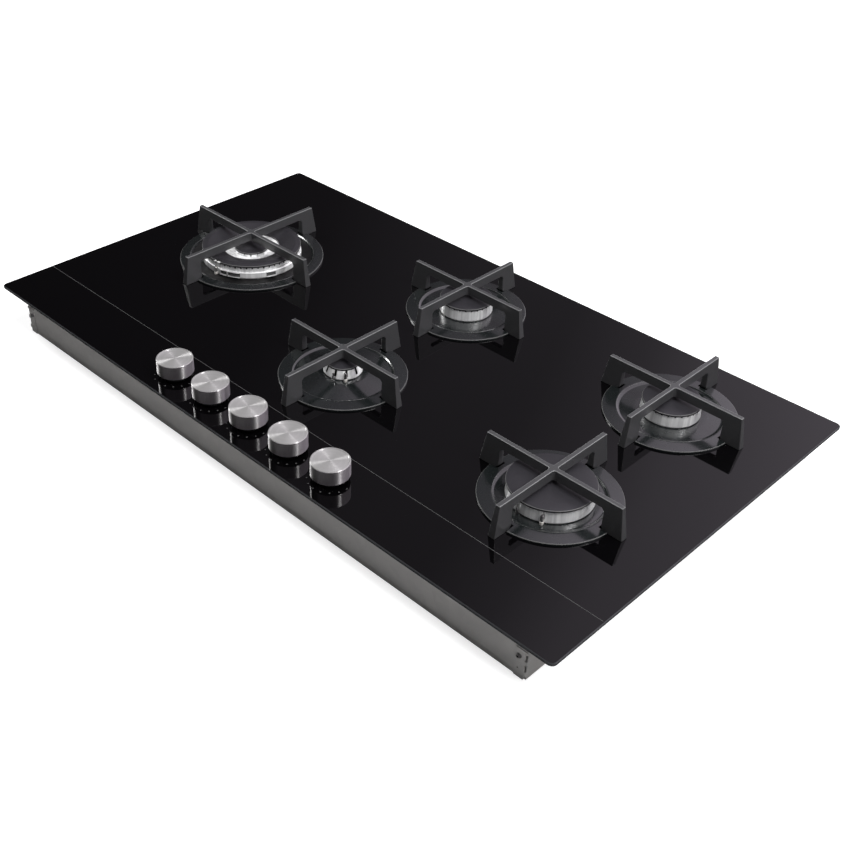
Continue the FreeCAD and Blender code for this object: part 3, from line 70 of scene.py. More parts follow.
# Bevels of the small edges.
FOOT_BEVEL = 0.6 * MM
TOOTH_BEVEL = 0.35 * MM
LOBE_BEVEL = 0.8 * MM
LOBE_TOP_BEVEL = 0.5 * MM
CREST_BEVEL = 0.5 * MM
SLOPE_BEVEL = 1.2 * MM
DISH_BEVEL = 1.5 * MM
SEAT_BEVEL = 0.3 * MM
RING_CREST_BEVEL = 1.5 * MM
RING_LIP_BEVEL = 0.6 * MM

# How far up a face must look: a knob's face, and the rounded edges whose paler finish is a
# painted highlight.
KNOB_FACE_UP = 0.3
SUPPORT_HIGHLIGHT_FACING = (0.15, 0.97)
PLATE_HIGHLIGHT_FACING = (0.35, 0.93)
CAP_HIGHLIGHT_FACING = (0.2, 0.9)

# Name of each burner and the family of castings that it uses.
BURNERS = (("wok", "wok"), ("simmer", "simmer"), ("centre", "medium"), ("right", "medium"),
           ("rapid", "rapid"))
KNOBS = range(1, 6)
GLASS_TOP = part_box("glass_top")[1].z


# ---------------------------------------------------------------- sizes that a user may change
def length(name, default, description):
    return FloatProperty(name=name, description=description, default=default, precision=5,
                         min=0.0, unit="LENGTH", subtype="DISTANCE")


def turn(name, degrees, description):
    return FloatProperty(name=name, description=description, default=math.radians(degrees),
                         unit="ROTATION", subtype="ANGLE")


def colour(name, default, description):
    return FloatVectorProperty(name=name, description=description, default=default, size=3,
                               min=0.0, max=1.0, subtype="COLOR")


class COOKTOP_PG_knobs(bpy.types.PropertyGroup):
    rim: length("Rim", 1.8 * MM, "Width of the raised rim round the knob's face")
    recess: length("Recess", 0.5 * MM, "How far the face lies below the rim")
    bevel: length("Bevel", 0.6 * MM, "Bevel of the upper outer edge")
    foot_bevel: length("Foot bevel", 0.35 * MM, "Bevel of the lower outer edge")
    wall: length("Wall", 2.6 * MM, "Thickness of the side")
    hub: length("Hub", 6.5 * MM, "Radius of the hub that grips the stem")
    hub_rise: length("Hub rise", 4.2 * MM, "Foot of the hub above the knob's lower edge")
    bore: length("Bore", 4.05 * MM, "Radius of the hole for the stem")
    bore_depth: length("Bore depth", 9.0 * MM, "Depth of the hole for the stem")
    face: length("Face", 3.0 * MM, "Thickness of the knob's top")


class COOKTOP_PG_print(bpy.types.PropertyGroup):
    line_setback: length("Line setback", 73.0 * MM, "From the glass's front edge to the line")
    line_width: length("Line width", 0.5 * MM, "Width of the printed line")
    dot_ring: length("Dot ring", 24.0 * MM, "Radius of the row of dots round a knob")
    dot: length("Dot", 0.85 * MM, "Radius of a printed dot")
    first_dot: turn("First dot", -135, "Turn of the first dot about the knob")
    dots: IntProperty(name="Dots", description="Dots round a knob", default=7, min=1)
    layer: length("Layer", 0.04 * MM, "Thickness of the printed layer")


class COOKTOP_PG_pan_supports(bpy.types.PropertyGroup):
    bar: length("Bar", 5.2 * MM, "Width of a cast bar at its top")
    foot: length("Foot", 8.6 * MM, "Width of a leg at its foot")
    bar_depth: length("Bar depth", 11.3 * MM, "Depth of a bar below its top")
    splay: length("Splay", 6.0 * MM, "How far a leg leans out at its foot")
    leg: length("Leg", 25.0 * MM, "Length of a foot along its bar")
    toe: length("Toe", 4.0 * MM, "Corner cut from the inner side of a foot")
    crotch: length("Crotch", 3.0 * MM, "Web between bar and leg")
    fillet: length("Fillet", 3.0 * MM, "Fillet where the bars cross")
    edge: length("Edge", 0.6 * MM, "Rounding of the casting's edges")


class COOKTOP_PG_plates(bpy.types.PropertyGroup):
    sheet: length("Sheet", 1.2 * MM, "Thickness of the enamelled sheet")
    rim: length("Rim", 2.7 * MM, "Height of the rolled rim")
    roll: length("Roll", 1.2 * MM, "Rounding of the rim")
    step: length("Step", 58.0 * MM, "Radius of the raised ring")
    wok_step: length("Wok step", 81.0 * MM, "Radius of the raised ring of the large plate")
    crest: length("Crest", 3.6 * MM, "Height of the raised ring")
    crest_width: length("Crest width", 1.4 * MM, "Width of the raised ring's top")
    step_run: length("Step run", 2.5 * MM, "Width of the slope inside the raised ring")
    dish: length("Dish", 1.9 * MM, "Height of the dish inside the ring")
    notch: length("Notch", 5.8 * MM, "Half the width of the cut-out for a leg")
    notch_reach: length("Notch reach", 63.0 * MM, "From the middle to the cut-out")
    wok_notch_reach: length("Wok notch reach", 84.0 * MM, "The same on the large plate")
    hub_margin: length("Hub margin", 6.0 * MM, "Flat ring round the burner's head")


class COOKTOP_PG_heads(bpy.types.PropertyGroup):
    rim: length("Rim", 5.0 * MM, "Width of the ring that holds the flame slots")
    taper: length("Taper", 0.8 * MM, "How far the head narrows to its top")
    simmer_taper: length("Simmer taper", 3.4 * MM, "The same on the smallest head")
    recess: length("Recess", 3.0 * MM, "Depth of the seat under the cap")
    wok_recess: length("Wok recess", 4.0 * MM, "Depth of the seat under the large ring cap")
    port_depth: length("Port depth", 1.3 * MM, "Depth of a flame slot")
    wok_port_depth: length("Wok port depth", 2.4 * MM, "Depth of a slot of the large head")
    simmer_port_depth: length("Simmer port depth", 7.0 * MM, "Depth of a slot of the smallest")
    simmer_port_reach: length("Simmer port reach", 4.5 * MM, "Radial depth of those slots")
    post_gap: length("Post gap", 0.6 * MM, "Clearance round an igniter")
    post_offset: length("Post offset", 1.2 * MM, "From the head's edge to an igniter's axis")


class COOKTOP_PG_caps(bpy.types.PropertyGroup):
    edge: length("Edge", 2.2 * MM, "Height of a cap's edge")
    crown: length("Crown", 1.2 * MM, "Rise of a cap's middle over its edge")
    shoulder: length("Shoulder", 4.0 * MM, "Width of the slope at a cap's edge")
    bevel: length("Bevel", 0.8 * MM, "Bevel of a cap's edge")
    spigot: length("Spigot", 2.4 * MM, "Depth of the locating ring")
    spigot_wall: length("Spigot wall", 3.0 * MM, "Thickness of the locating ring")
    hollow: length("Hollow", 0.8 * MM, "Sinking of a cap's underside inside its ring")
    crest: length("Crest", 57.0 * MM, "Radius of the crest of the large ring")
    sheet: length("Sheet", 1.5 * MM, "Thickness of the large ring's dished part")
    gap: length("Gap", 0.3 * MM, "Gap between the dished part and its head")
    notch: length("Notch", 4.0 * MM, "Depth of the notch in the large ring's edge")
    notch_half: length("Notch half", 6.5 * MM, "Half the width of that notch")


class COOKTOP_PG_finishes(bpy.types.PropertyGroup):
    glass: colour("Glass", (0.0009, 0.0008, 0.0010), "Back-painted black glass")
    glass_edge: colour("Glass edge", (0.030, 0.031, 0.033), "Ground edge of the glass")
    zinc: colour("Zinc", (0.57, 0.555, 0.545), "Zinc-coated sheet of the tray")
    steel: colour("Steel", (0.62, 0.61, 0.60), "Bright screws and brackets")
    knob: colour("Knob", (0.86, 0.84, 0.84), "Turned metal of the knobs")
    knob_face: colour("Knob face", (0.50, 0.49, 0.49), "Sunk faces of the knobs")
    aluminium: colour("Aluminium", (0.90, 0.90, 0.91), "Cast burner heads")
    brass: colour("Brass", (0.62, 0.43, 0.17), "Taps and jets")
    plate: colour("Plate", (0.0045, 0.0060, 0.0061), "Enamel of the burner plates")
    cap: colour("Cap", (0.019, 0.018, 0.021), "Enamel of the burner caps")
    iron: colour("Iron", (0.040, 0.040, 0.042), "Matt enamel of the pan supports")
    ceramic: colour("Ceramic", (0.50, 0.485, 0.46), "Igniter insulators")
    silicone: colour("Silicone", (0.012, 0.012, 0.012), "Seals and bead")
    pale_plastic: colour("Pale plastic", (0.60, 0.58, 0.52), "Ignition module")
    black_plastic: colour("Black plastic", (0.018, 0.018, 0.019), "Terminal box and gland")
    printed: colour("Print", (0.055, 0.055, 0.055), "Printed line and dots")


class COOKTOP_PG_stage(bpy.types.PropertyGroup):
    floor: length("Floor", 9.0, "Half the side of the floor")
    focal: FloatProperty(name="Focal length", description="Camera's focal length",
                         default=50.57, unit="CAMERA")
    shift: FloatProperty(name="Shift", description="Camera's sideways shift", default=0.0604)
    key: FloatProperty(name="Key", description="Power of the right-hand lamp", default=22.0,
                       unit="POWER")
    strip: FloatProperty(name="Strip", description="Power of the narrow lamp", default=15.0,
                         unit="POWER")
    fill: FloatProperty(name="Fill", description="Power of the left-hand lamp", default=20.0,
                        unit="POWER")
    overhead: FloatProperty(name="Overhead", description="Power of the lamp above", default=75.0,
                            unit="POWER")
    ambient: FloatProperty(name="Ambient", description="Strength of the soft light all round",
                           default=0.20)


GROUPS = (
    ("cooktop_knobs", COOKTOP_PG_knobs), ("cooktop_print", COOKTOP_PG_print),
    ("cooktop_pan_supports", COOKTOP_PG_pan_supports), ("cooktop_plates", COOKTOP_PG_plates),
    ("cooktop_heads", COOKTOP_PG_heads), ("cooktop_caps", COOKTOP_PG_caps),
    ("cooktop_finishes", COOKTOP_PG_finishes), ("cooktop_stage", COOKTOP_PG_stage),
)


# ---------------------------------------------------------------- shaping
def lathe(mesh, profile, steps, ring=True):
    """Turns a profile of (radius, height) about the Z axis; a ring's profile is closed."""
    corners = [mesh.verts.new((radius, 0.0, height)) for radius, height in profile]
    pairs = list(zip(corners, corners[1:]))
    if ring:
        pairs.append((corners[-1], corners[0]))
    edges = [mesh.edges.new(pair) for pair in pairs]
    bmesh.ops.spin(mesh, geom=corners + edges, cent=(0, 0, 0), axis=(0, 0, 1),
                   angle=FULL_TURN, steps=steps, use_merge=True, use_duplicate=False)
    bmesh.ops.remove_doubles(mesh, verts=mesh.verts, dist=MERGE)
    bmesh.ops.recalc_face_normals(mesh, faces=mesh.faces)


def reach_of(point):
    return math.hypot(point.x, point.y)


def rings(mesh, *spots):
    """Round edges of a turned shape that lie at any of these (radius, height) spots."""
    def lies(vert, spot):
        return abs(reach_of(vert.co) - spot[0]) < NEAR and abs(vert.co.z - spot[1]) < NEAR
    return [edge for edge in mesh.edges
            if any(all(lies(vert, spot) for vert in edge.verts) for spot in spots)]


def soften(mesh, edges, amount, segments=3):
    return bmesh.ops.bevel(mesh, geom=edges, offset=amount, offset_type="OFFSET",
                           segments=segments, profile=0.5, affect="EDGES",
                           clamp_overlap=True, material=-1)["faces"]


def sharp_edges(mesh, least=math.radians(25)):
    return [edge for edge in mesh.edges
            if len(edge.link_faces) == 2 and edge.calc_face_angle() > least]


def new_verts(grown):
    return [item for item in grown if isinstance(item, bmesh.types.BMVert)]


def raise_faces(mesh, faces, height):
    """Extrudes a region of faces straight up and returns its new vertices."""
    verts = new_verts(bmesh.ops.extrude_face_region(mesh, geom=faces)["geom"])
    bmesh.ops.translate(mesh, verts=verts, vec=(0, 0, height))
    bmesh.ops.delete(mesh, geom=[face for face in faces if face.is_valid], context="FACES_ONLY")
    return verts


def level(item, height):
    """Whether a whole edge or face lies at one height."""
    return all(abs(vert.co.z - height) < NEAR for vert in item.verts)


def within(value, limits):
    return limits[0] < value < limits[1]


def directions(angle):
    """Level directions out along an angle and across it."""
    out = Vector((math.cos(angle), math.sin(angle), 0))
    return out, Vector((-out.y, out.x, 0))


def column(face, steps):
    """Number of the turn step in which a face of a turned shape lies."""
    middle = face.calc_center_median()
    angle = math.atan2(middle.y, middle.x) % FULL_TURN
    return int(angle / FULL_TURN * steps)


def scallop(mesh, angle, reach, radius):
    """Presses an upright groove round a post's axis into the outside of a head."""
    out, across = directions(angle)
    for vert in mesh.verts:
        away = Vector((vert.co.x, vert.co.y, 0)) - out * reach
        along, aside = away.dot(out), away.dot(across)
        if away.length < radius:
            depth = -math.sqrt(radius ** 2 - aside ** 2)
            vert.co += out * (depth - along)


def piece(name, mesh, finishes, body, stands_for=(), at=(0, 0, 0), weighted=True):
    """Makes an object of a finished mesh, at its place in the frame, riding on a body."""
    bmesh.ops.translate(mesh, verts=mesh.verts, vec=at)
    data = bpy.data.meshes.new(name)
    mesh.to_mesh(data)
    mesh.free()
    for finish in finishes:
        data.materials.append(finish)
    data.shade_smooth()
    data.set_sharp_from_angle(angle=SHARP)
    thing = bpy.data.objects.new(name, data)
    bpy.context.scene.collection.objects.link(thing)
    if weighted:
        normals = thing.modifiers.new("even_normals", "WEIGHTED_NORMAL")
        normals.keep_sharp = True
    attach(thing, body)
    if stands_for:
        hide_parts(*stands_for)
    return thing


def middle_of(node):
    low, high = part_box(node)
    return (low.x + high.x) / 2, (low.y + high.y) / 2


def half_width(node):
    low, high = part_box(node)
    return (high.x - low.x) / 2


def burner_place(name):
    x, y = middle_of("burner_plate_" + name)
    return Vector((x, y, GLASS_TOP))


# ---------------------------------------------------------------- finishes
def add_node(tree, kind, inputs=None, **settings):
    """Adds a node with its settings, and a value or a link for each input that is given."""
    made = tree.nodes.new(kind)
    for name, value in settings.items():
        setattr(made, name, value)
    for name, value in (inputs or {}).items():
        if isinstance(value, bpy.types.NodeSocket):
            tree.links.new(value, made.inputs[name])
        elif value is not None:
            made.inputs[name].default_value = value
    return made


class Finish:
    """A node material under way: its tree, its shader and the pattern's coordinates."""

    def __init__(self, name, base, roughness, metallic=0.0, centre=None):
        self.material = bpy.data.materials.new(name)
        self.material.use_nodes = True
        self.tree = self.material.node_tree
        self.shader = self.tree.nodes["Principled BSDF"]
        self.base = base
        self.roughness = roughness
        self.fixed(Base_Color=(*base, 1), Roughness=roughness, Metallic=metallic)
        self.material.diffuse_color = (*base, 1)
        self.place = self.node("ShaderNodeTexCoord").outputs["Object"]
        if centre:
            away = [-value for value in centre]
            self.place = self.node("ShaderNodeMapping", {
                "Vector": self.place, "Location": away}).outputs["Vector"]

    def node(self, kind, inputs=None, **settings):
        return add_node(self.tree, kind, inputs, **settings)

    def link(self, source, target):
        self.tree.links.new(source, self.shader.inputs[target])

    def fixed(self, **values):
        for name, value in values.items():
            self.shader.inputs[name.replace("_", " ")].default_value = value

    def noise(self, scale, detail=3.0, roughness=0.55, stretch=None):
        """A noise on the piece's coordinates, with a scale per metre."""
        place = self.place
        if stretch:
            place = self.node("ShaderNodeMapping", {
                "Vector": place, "Scale": stretch}).outputs["Vector"]
        return self.node("ShaderNodeTexNoise", {
            "Vector": place, "Scale": scale, "Detail": detail,
            "Roughness": roughness}).outputs["Fac"]

    def spread(self, source, low, high, start=0.3, end=0.7):
        """A value between low and high that follows a source."""
        return self.node("ShaderNodeMapRange", {
            "Value": source, "From Min": start, "From Max": end, "To Min": low,
            "To Max": high}, clamp=True).outputs["Result"]

    def mixed(self, factor, first, second):
        """One colour turning into another."""
        return self.node("ShaderNodeMix", {
            "Factor": factor, 6: (*first, 1), 7: (*second, 1)}, data_type="RGBA").outputs[2]

    def tint(self, source, amount):
        """Varies the base colour by a share of itself."""
        darker = [value * (1 - amount) for value in self.base]
        lighter = [min(1.0, value * (1 + amount)) for value in self.base]
        self.link(self.mixed(source, darker, lighter), "Base Color")

    def gloss(self, source, amount):
        """Varies the roughness by an amount up and down."""
        low = max(0.0, self.roughness - amount)
        self.link(self.spread(source, low, self.roughness + amount), "Roughness")

    def relief(self, source, depth, strength):
        bump = self.node("ShaderNodeBump", {
            "Distance": depth, "Strength": strength, "Height": source})
        self.link(bump.outputs["Normal"], "Normal")

    def arithmetic(self, operation, *values):
        return self.node("ShaderNodeMath", dict(enumerate(values)),
                         operation=operation).outputs["Value"]


def black_glass():
    """Mirror black glass, a little uneven in gloss, with a ground edge."""
    colours = bpy.context.scene.cooktop_finishes
    finish = Finish("black_glass", colours.glass, 0.03)
    finish.gloss(finish.noise(9.0), 0.018)
    normal = finish.node("ShaderNodeNewGeometry").outputs["Normal"]
    facing = finish.node("ShaderNodeSeparateXYZ", {0: normal})
    side = finish.arithmetic("LESS_THAN", finish.arithmetic("ABSOLUTE", facing.outputs["Z"]), 0.9)
    finish.link(finish.mixed(side, colours.glass, colours.glass_edge), "Base Color")
    return finish.material


def zinc_sheet():
    """Zinc-coated steel with faint spangle."""
    finish = Finish("zinc_sheet", bpy.context.scene.cooktop_finishes.zinc, 0.46, 0.5)
    cells = finish.node("ShaderNodeTexVoronoi", {"Scale": 120.0, "Vector": finish.place})
    grey = finish.node("ShaderNodeSeparateColor", {0: cells.outputs["Color"]}).outputs[0]
    cloud = finish.arithmetic("MULTIPLY", finish.noise(30.0, 4.0), 0.65)
    both = finish.arithmetic("MULTIPLY_ADD", grey, 0.35, cloud)
    finish.tint(both, 0.10)
    finish.gloss(both, 0.04)
    finish.relief(finish.noise(14.0, 2.0), 0.0003, 0.2)
    return finish.material


def plain_finish(name, base, roughness, metallic, scale, tint, gloss, depth, coat=None):
    """A finish whose colour, gloss and relief follow one grain, with a coat or without."""
    finish = Finish(name, base, roughness, metallic)
    if coat:
        weight, coat_roughness, ior = coat
        finish.fixed(Coat_Weight=weight, Coat_Roughness=coat_roughness, Coat_IOR=ior)
    grain = finish.noise(scale)
    finish.tint(finish.spread(grain, 0.0, 1.0), tint)
    finish.gloss(finish.noise(scale / 6), gloss)
    finish.relief(grain, depth, 0.5)
    return finish.material


def cast_metal():
    """Machined cast aluminium with streaks down its sides."""
    finish = Finish("cast_aluminium", bpy.context.scene.cooktop_finishes.aluminium, 0.34, 0.4)
    streaks = finish.noise(190.0, 2.0, stretch=(1, 1, 0.03))
    finish.tint(finish.spread(streaks, 0.0, 1.0, 0.35, 0.65), 0.22)
    finish.gloss(finish.noise(150.0), 0.05)
    return finish.material


def spun_metal(name, base, centre, roughness, streak, metallic):
    """Turned metal: fine rings about an upright axis, and a gloss drawn out across them."""
    finish = Finish(name, base, roughness, metallic, centre)
    split = finish.node("ShaderNodeSeparateXYZ", {0: finish.place}).outputs
    flat = finish.node("ShaderNodeCombineXYZ", {"X": split["X"], "Y": split["Y"]})
    reach = finish.node("ShaderNodeVectorMath", {0: flat.outputs["Vector"]}, operation="LENGTH")
    line = finish.node("ShaderNodeCombineXYZ", {"X": reach.outputs["Value"], "Z": split["Z"]})
    grooves = finish.node("ShaderNodeTexNoise", {
        "Scale": 1500.0, "Detail": 1.0, "Vector": line.outputs["Vector"]}).outputs["Fac"]
    finish.tint(finish.spread(grooves, 0.0, 1.0), 0.04)
    finish.gloss(grooves, 0.02)
    tangent = finish.node("ShaderNodeTangent", direction_type="RADIAL", axis="Z")
    finish.link(tangent.outputs["Tangent"], "Tangent")
    finish.fixed(Anisotropic=streak, Anisotropic_Rotation=0.25)
    return finish.material


# Weight, roughness and IOR of the glaze on enamelled castings and plates.
IRON_COAT = (0.6, 0.16, 1.5)
PLATE_COAT = (0.8, 0.14, 1.9)


def slot_finishes():
    """Finish of each material slot in the record, for the nodes that are carried over."""
    colours = bpy.context.scene.cooktop_finishes
    # Name, base, roughness, metallic, grain per metre, tint, gloss, depth of relief, coat.
    plain = {
        "silicone": ("silicone_black", colours.silicone, 0.55, 0.0, 400, 0.2, 0.08, 0.0001),
        "bright_steel": ("bright_steel", colours.steel, 0.28, 1.0, 500, 0.08, 0.08, 0.00003),
        "knob_metal": ("stem_steel", colours.steel, 0.3, 1.0, 600, 0.06, 0.06, 0.00003),
        "brass": ("tap_brass", colours.brass, 0.34, 1.0, 300, 0.12, 0.1, 0.0001),
        "grey_enamel": ("plate_enamel", colours.plate, 0.27, 0.0, 300, 0.06, 0.02, 0.000004,
                        PLATE_COAT),
        "dark_enamel": ("cap_enamel", colours.cap, 0.34, 0.0, 1500, 0.2, 0.06, 0.00004),
        "cast_iron": ("cast_iron_enamel", colours.iron, 0.36, 0.0, 900, 0.08, 0.04, 0.00006,
                      IRON_COAT),
        "ceramic": ("igniter_ceramic", colours.ceramic, 0.35, 0.0, 900, 0.05, 0.08, 0.00003),
        "pale_plastic": ("pale_plastic", colours.pale_plastic, 0.45, 0.0, 300, 0.05, 0.06,
                         0.00005),
        "black_plastic": ("black_plastic", colours.black_plastic, 0.42, 0.0, 700, 0.15, 0.08,
                          0.00008),
    }
    made = {slot: plain_finish(*values) for slot, values in plain.items()}
    made.update(black_glass=black_glass(), zinc_steel=zinc_sheet(), cast_aluminium=cast_metal())
    return made


FINISHES = {}
# Grey levels of the dull finishes that paint light and shade: painted shade in the large plate's
# well and in the heads' slots and windows, painted highlights on plate rims and cap edges.
PAINTED_LIGHT_LEVELS = {"well_painted_shade": 0.0012, "rim_painted_highlight": 0.07, "slot_painted_shade": 0.008,
               "window_painted_shade": 0.09, "cap_painted_highlight": 0.11}
# Paler grey of the pan supports' rounded top edges: a painted highlight.
EDGE_HIGHLIGHT_GREY = (0.15, 0.15, 0.155)


def painted_light_finish(name):
    """A dull finish of painted shade or painted highlight, made when it is first asked for."""
    if name not in FINISHES:
        base = (PAINTED_LIGHT_LEVELS[name],) * 3
        FINISHES[name] = plain_finish(name, base, 0.6, 0.0, 900, 0.2, 0.1, 0.00005)
    return FINISHES[name]


class COOKTOP_OT_carried_nodes(bpy.types.Operator):
    """Gives every node that is carried over from the solids its node material"""
    bl_idname = "cooktop.carried_nodes"
    bl_label = "Carried-over solids"

    def execute(self, context):
        FINISHES.update(slot_finishes())
        # The supports' rounded top edges get a paler finish, a painted highlight.
        FINISHES["iron_painted_highlight"] = plain_finish("iron_painted_highlight", EDGE_HIGHLIGHT_GREY, 0.32, 0.0, 900, 0.25, 0.05,
                                             0.00002)
        slots = {entry["node"]: entry["material_slot"] for entry in frame["record"]["subparts"]}
        for name, thing in frame["nodes"].items():
            thing.data.materials.clear()
            thing.data.materials.append(FINISHES[slots[name]])
        return {"FINISHED"}


class COOKTOP_OT_print(bpy.types.Operator):
    """Prints the line behind the knobs and the row of dots round each knob"""
    bl_idname = "cooktop.glass_print"
    bl_label = "Print on the glass"

    def execute(self, context):
        sizes = context.scene.cooktop_print
        low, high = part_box("glass_top")
        mesh = bmesh.new()
        margin = 2 * MM
        grid = bmesh.ops.create_grid(mesh, x_segments=1, y_segments=1, size=0.5)["verts"]
        bmesh.ops.scale(mesh, verts=grid, vec=(high.x - low.x - 2 * margin, sizes.line_width, 1))
        bmesh.ops.translate(mesh, verts=grid, vec=(0, low.y + sizes.line_setback, 0))
        for number in KNOBS:
            centre = Vector((*middle_of("knob_%d" % number), 0))
            for index in range(sizes.dots):
                angle = sizes.first_dot * (1 - index / (sizes.dots - 1))
                dot = bmesh.ops.create_circle(mesh, cap_ends=True, segments=16,
                                              radius=sizes.dot)["verts"]
                spot = centre + sizes.dot_ring * directions(angle)[0]
                bmesh.ops.translate(mesh, verts=dot, vec=spot)
        raise_faces(mesh, list(mesh.faces), sizes.layer)
        colours = context.scene.cooktop_finishes
        finish = plain_finish("print_grey", colours.printed, 0.5, 0.0, 2000, 0.08, 0.05, 0.00001)
        piece("glass_print", mesh, [finish], "hob", at=(0, 0, GLASS_TOP), weighted=False)
        return {"FINISHED"}


class COOKTOP_OT_knobs(bpy.types.Operator):
    """Turns the five metal knobs, each with a rim, a sunk face and a hollow underside"""
    bl_idname = "cooktop.knobs"
    bl_label = "Knobs"

    def execute(self, context):
        sizes = context.scene.cooktop_knobs
        for number in KNOBS:
            node = "knob_%d" % number
            low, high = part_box(node)
            x, y = middle_of(node)
            radius = half_width(node)
            top = high.z - low.z
            sunk = top - sizes.recess
            inside = top - sizes.face
            bore_top = sizes.hub_rise + sizes.bore_depth
            guard = 0.12 * MM
            mesh = bmesh.new()
            lathe(mesh, (
                (0, bore_top), (sizes.bore, bore_top), (sizes.bore, sizes.hub_rise),
                (sizes.hub, sizes.hub_rise), (sizes.hub, inside),
                (radius - sizes.wall, inside), (radius - sizes.wall, 0),
                (radius - sizes.foot_bevel, 0), (radius, sizes.foot_bevel),
                (radius, sizes.foot_bevel + guard), (radius, top - sizes.bevel - guard),
                (radius, top - sizes.bevel), (radius - sizes.bevel, top),
                (radius - sizes.rim, top), (radius - sizes.rim - sizes.recess, sunk),
                (radius - sizes.rim - sizes.recess - guard, sunk), (0, sunk)),
                ROUND_STEPS, ring=False)
            for face in mesh.faces:
                face.material_index = int(face.normal.z > KNOB_FACE_UP
                                          and face.calc_center_median().z > inside)
            centre = (x, y, low.z)
            colours = context.scene.cooktop_finishes
            side = spun_metal("knob_side_%d" % number, colours.knob, centre,
                              roughness=0.36, streak=0.97, metallic=1.0)
            face = spun_metal("knob_face_%d" % number, colours.knob_face, centre,
                              roughness=0.34, streak=0.95, metallic=0.65)
            piece(node + "_turned", mesh, [side, face], node, [node],
                  at=(x, y, low.z), weighted=False)
        return {"FINISHED"}


class COOKTOP_OT_pan_supports(bpy.types.Operator):
    """Casts the five pan supports: crossed bars, splayed legs and rounded edges"""
    bl_idname = "cooktop.pan_supports"
    bl_label = "Pan supports"

    def execute(self, context):
        sizes = context.scene.cooktop_pan_supports
        for name, family in BURNERS:
            node = "pan_support_" + name
            low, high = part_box(node)
            toe = half_width(node)
            top = high.z - low.z
            under = top - sizes.bar_depth
            heel = toe - sizes.leg
            draft = (sizes.foot - sizes.bar) / 2 / top

            def half_at(height):
                return sizes.bar / 2 + draft * (top - height)

            mesh = bmesh.new()
            corners = [mesh.verts.new((x, -half_at(z), z)) for x, z in (
                (0, top), (toe - sizes.splay, top), (toe, 0), (heel + sizes.toe, 0),
                (heel, sizes.toe), (heel, under - sizes.crotch), (heel - sizes.crotch, under),
                (0, under))]
            flat = mesh.faces.new(corners)
            grown = bmesh.ops.extrude_face_region(mesh, geom=[flat])["geom"]
            bmesh.ops.scale(mesh, verts=new_verts(grown), vec=(1, -1, 1))
            bmesh.ops.recalc_face_normals(mesh, faces=mesh.faces)
            for side in (1, -1):
                everything = mesh.verts[:] + mesh.edges[:] + mesh.faces[:]
                bmesh.ops.bisect_plane(mesh, geom=everything, dist=MERGE, plane_co=(0, 0, 0),
                                       plane_no=(-1, side, 0), clear_outer=True)
            everything = mesh.verts[:] + mesh.edges[:] + mesh.faces[:]
            bmesh.ops.spin(mesh, geom=everything, cent=(0, 0, 0), axis=(0, 0, 1),
                           angle=FULL_TURN * 3 / 4, steps=3, use_duplicate=True,
                           use_merge=False)
            bmesh.ops.remove_doubles(mesh, verts=mesh.verts, dist=MERGE)
            bmesh.ops.recalc_face_normals(mesh, faces=mesh.faces)
            inner = [edge for edge in mesh.edges if all(
                abs(abs(vert.co.x) - half_at(vert.co.z)) < NEAR
                and abs(abs(vert.co.y) - half_at(vert.co.z)) < NEAR for vert in edge.verts)
                and abs(edge.verts[0].co.z - edge.verts[1].co.z) > NEAR]
            soften(mesh, inner, sizes.fillet, 4)
            # Rounded faces that look partly up get the paler finish: a painted highlight.
            for face in soften(mesh, sharp_edges(mesh), sizes.edge, 3):
                face.material_index = int(within(face.normal.z, SUPPORT_HIGHLIGHT_FACING)
                                          and face.calc_center_median().z > under)
            piece(node + "_cast", mesh, [FINISHES["cast_iron"], FINISHES["iron_painted_highlight"]],
                  "support_" + name, [node], at=(*middle_of(node), low.z))
        return {"FINISHED"}


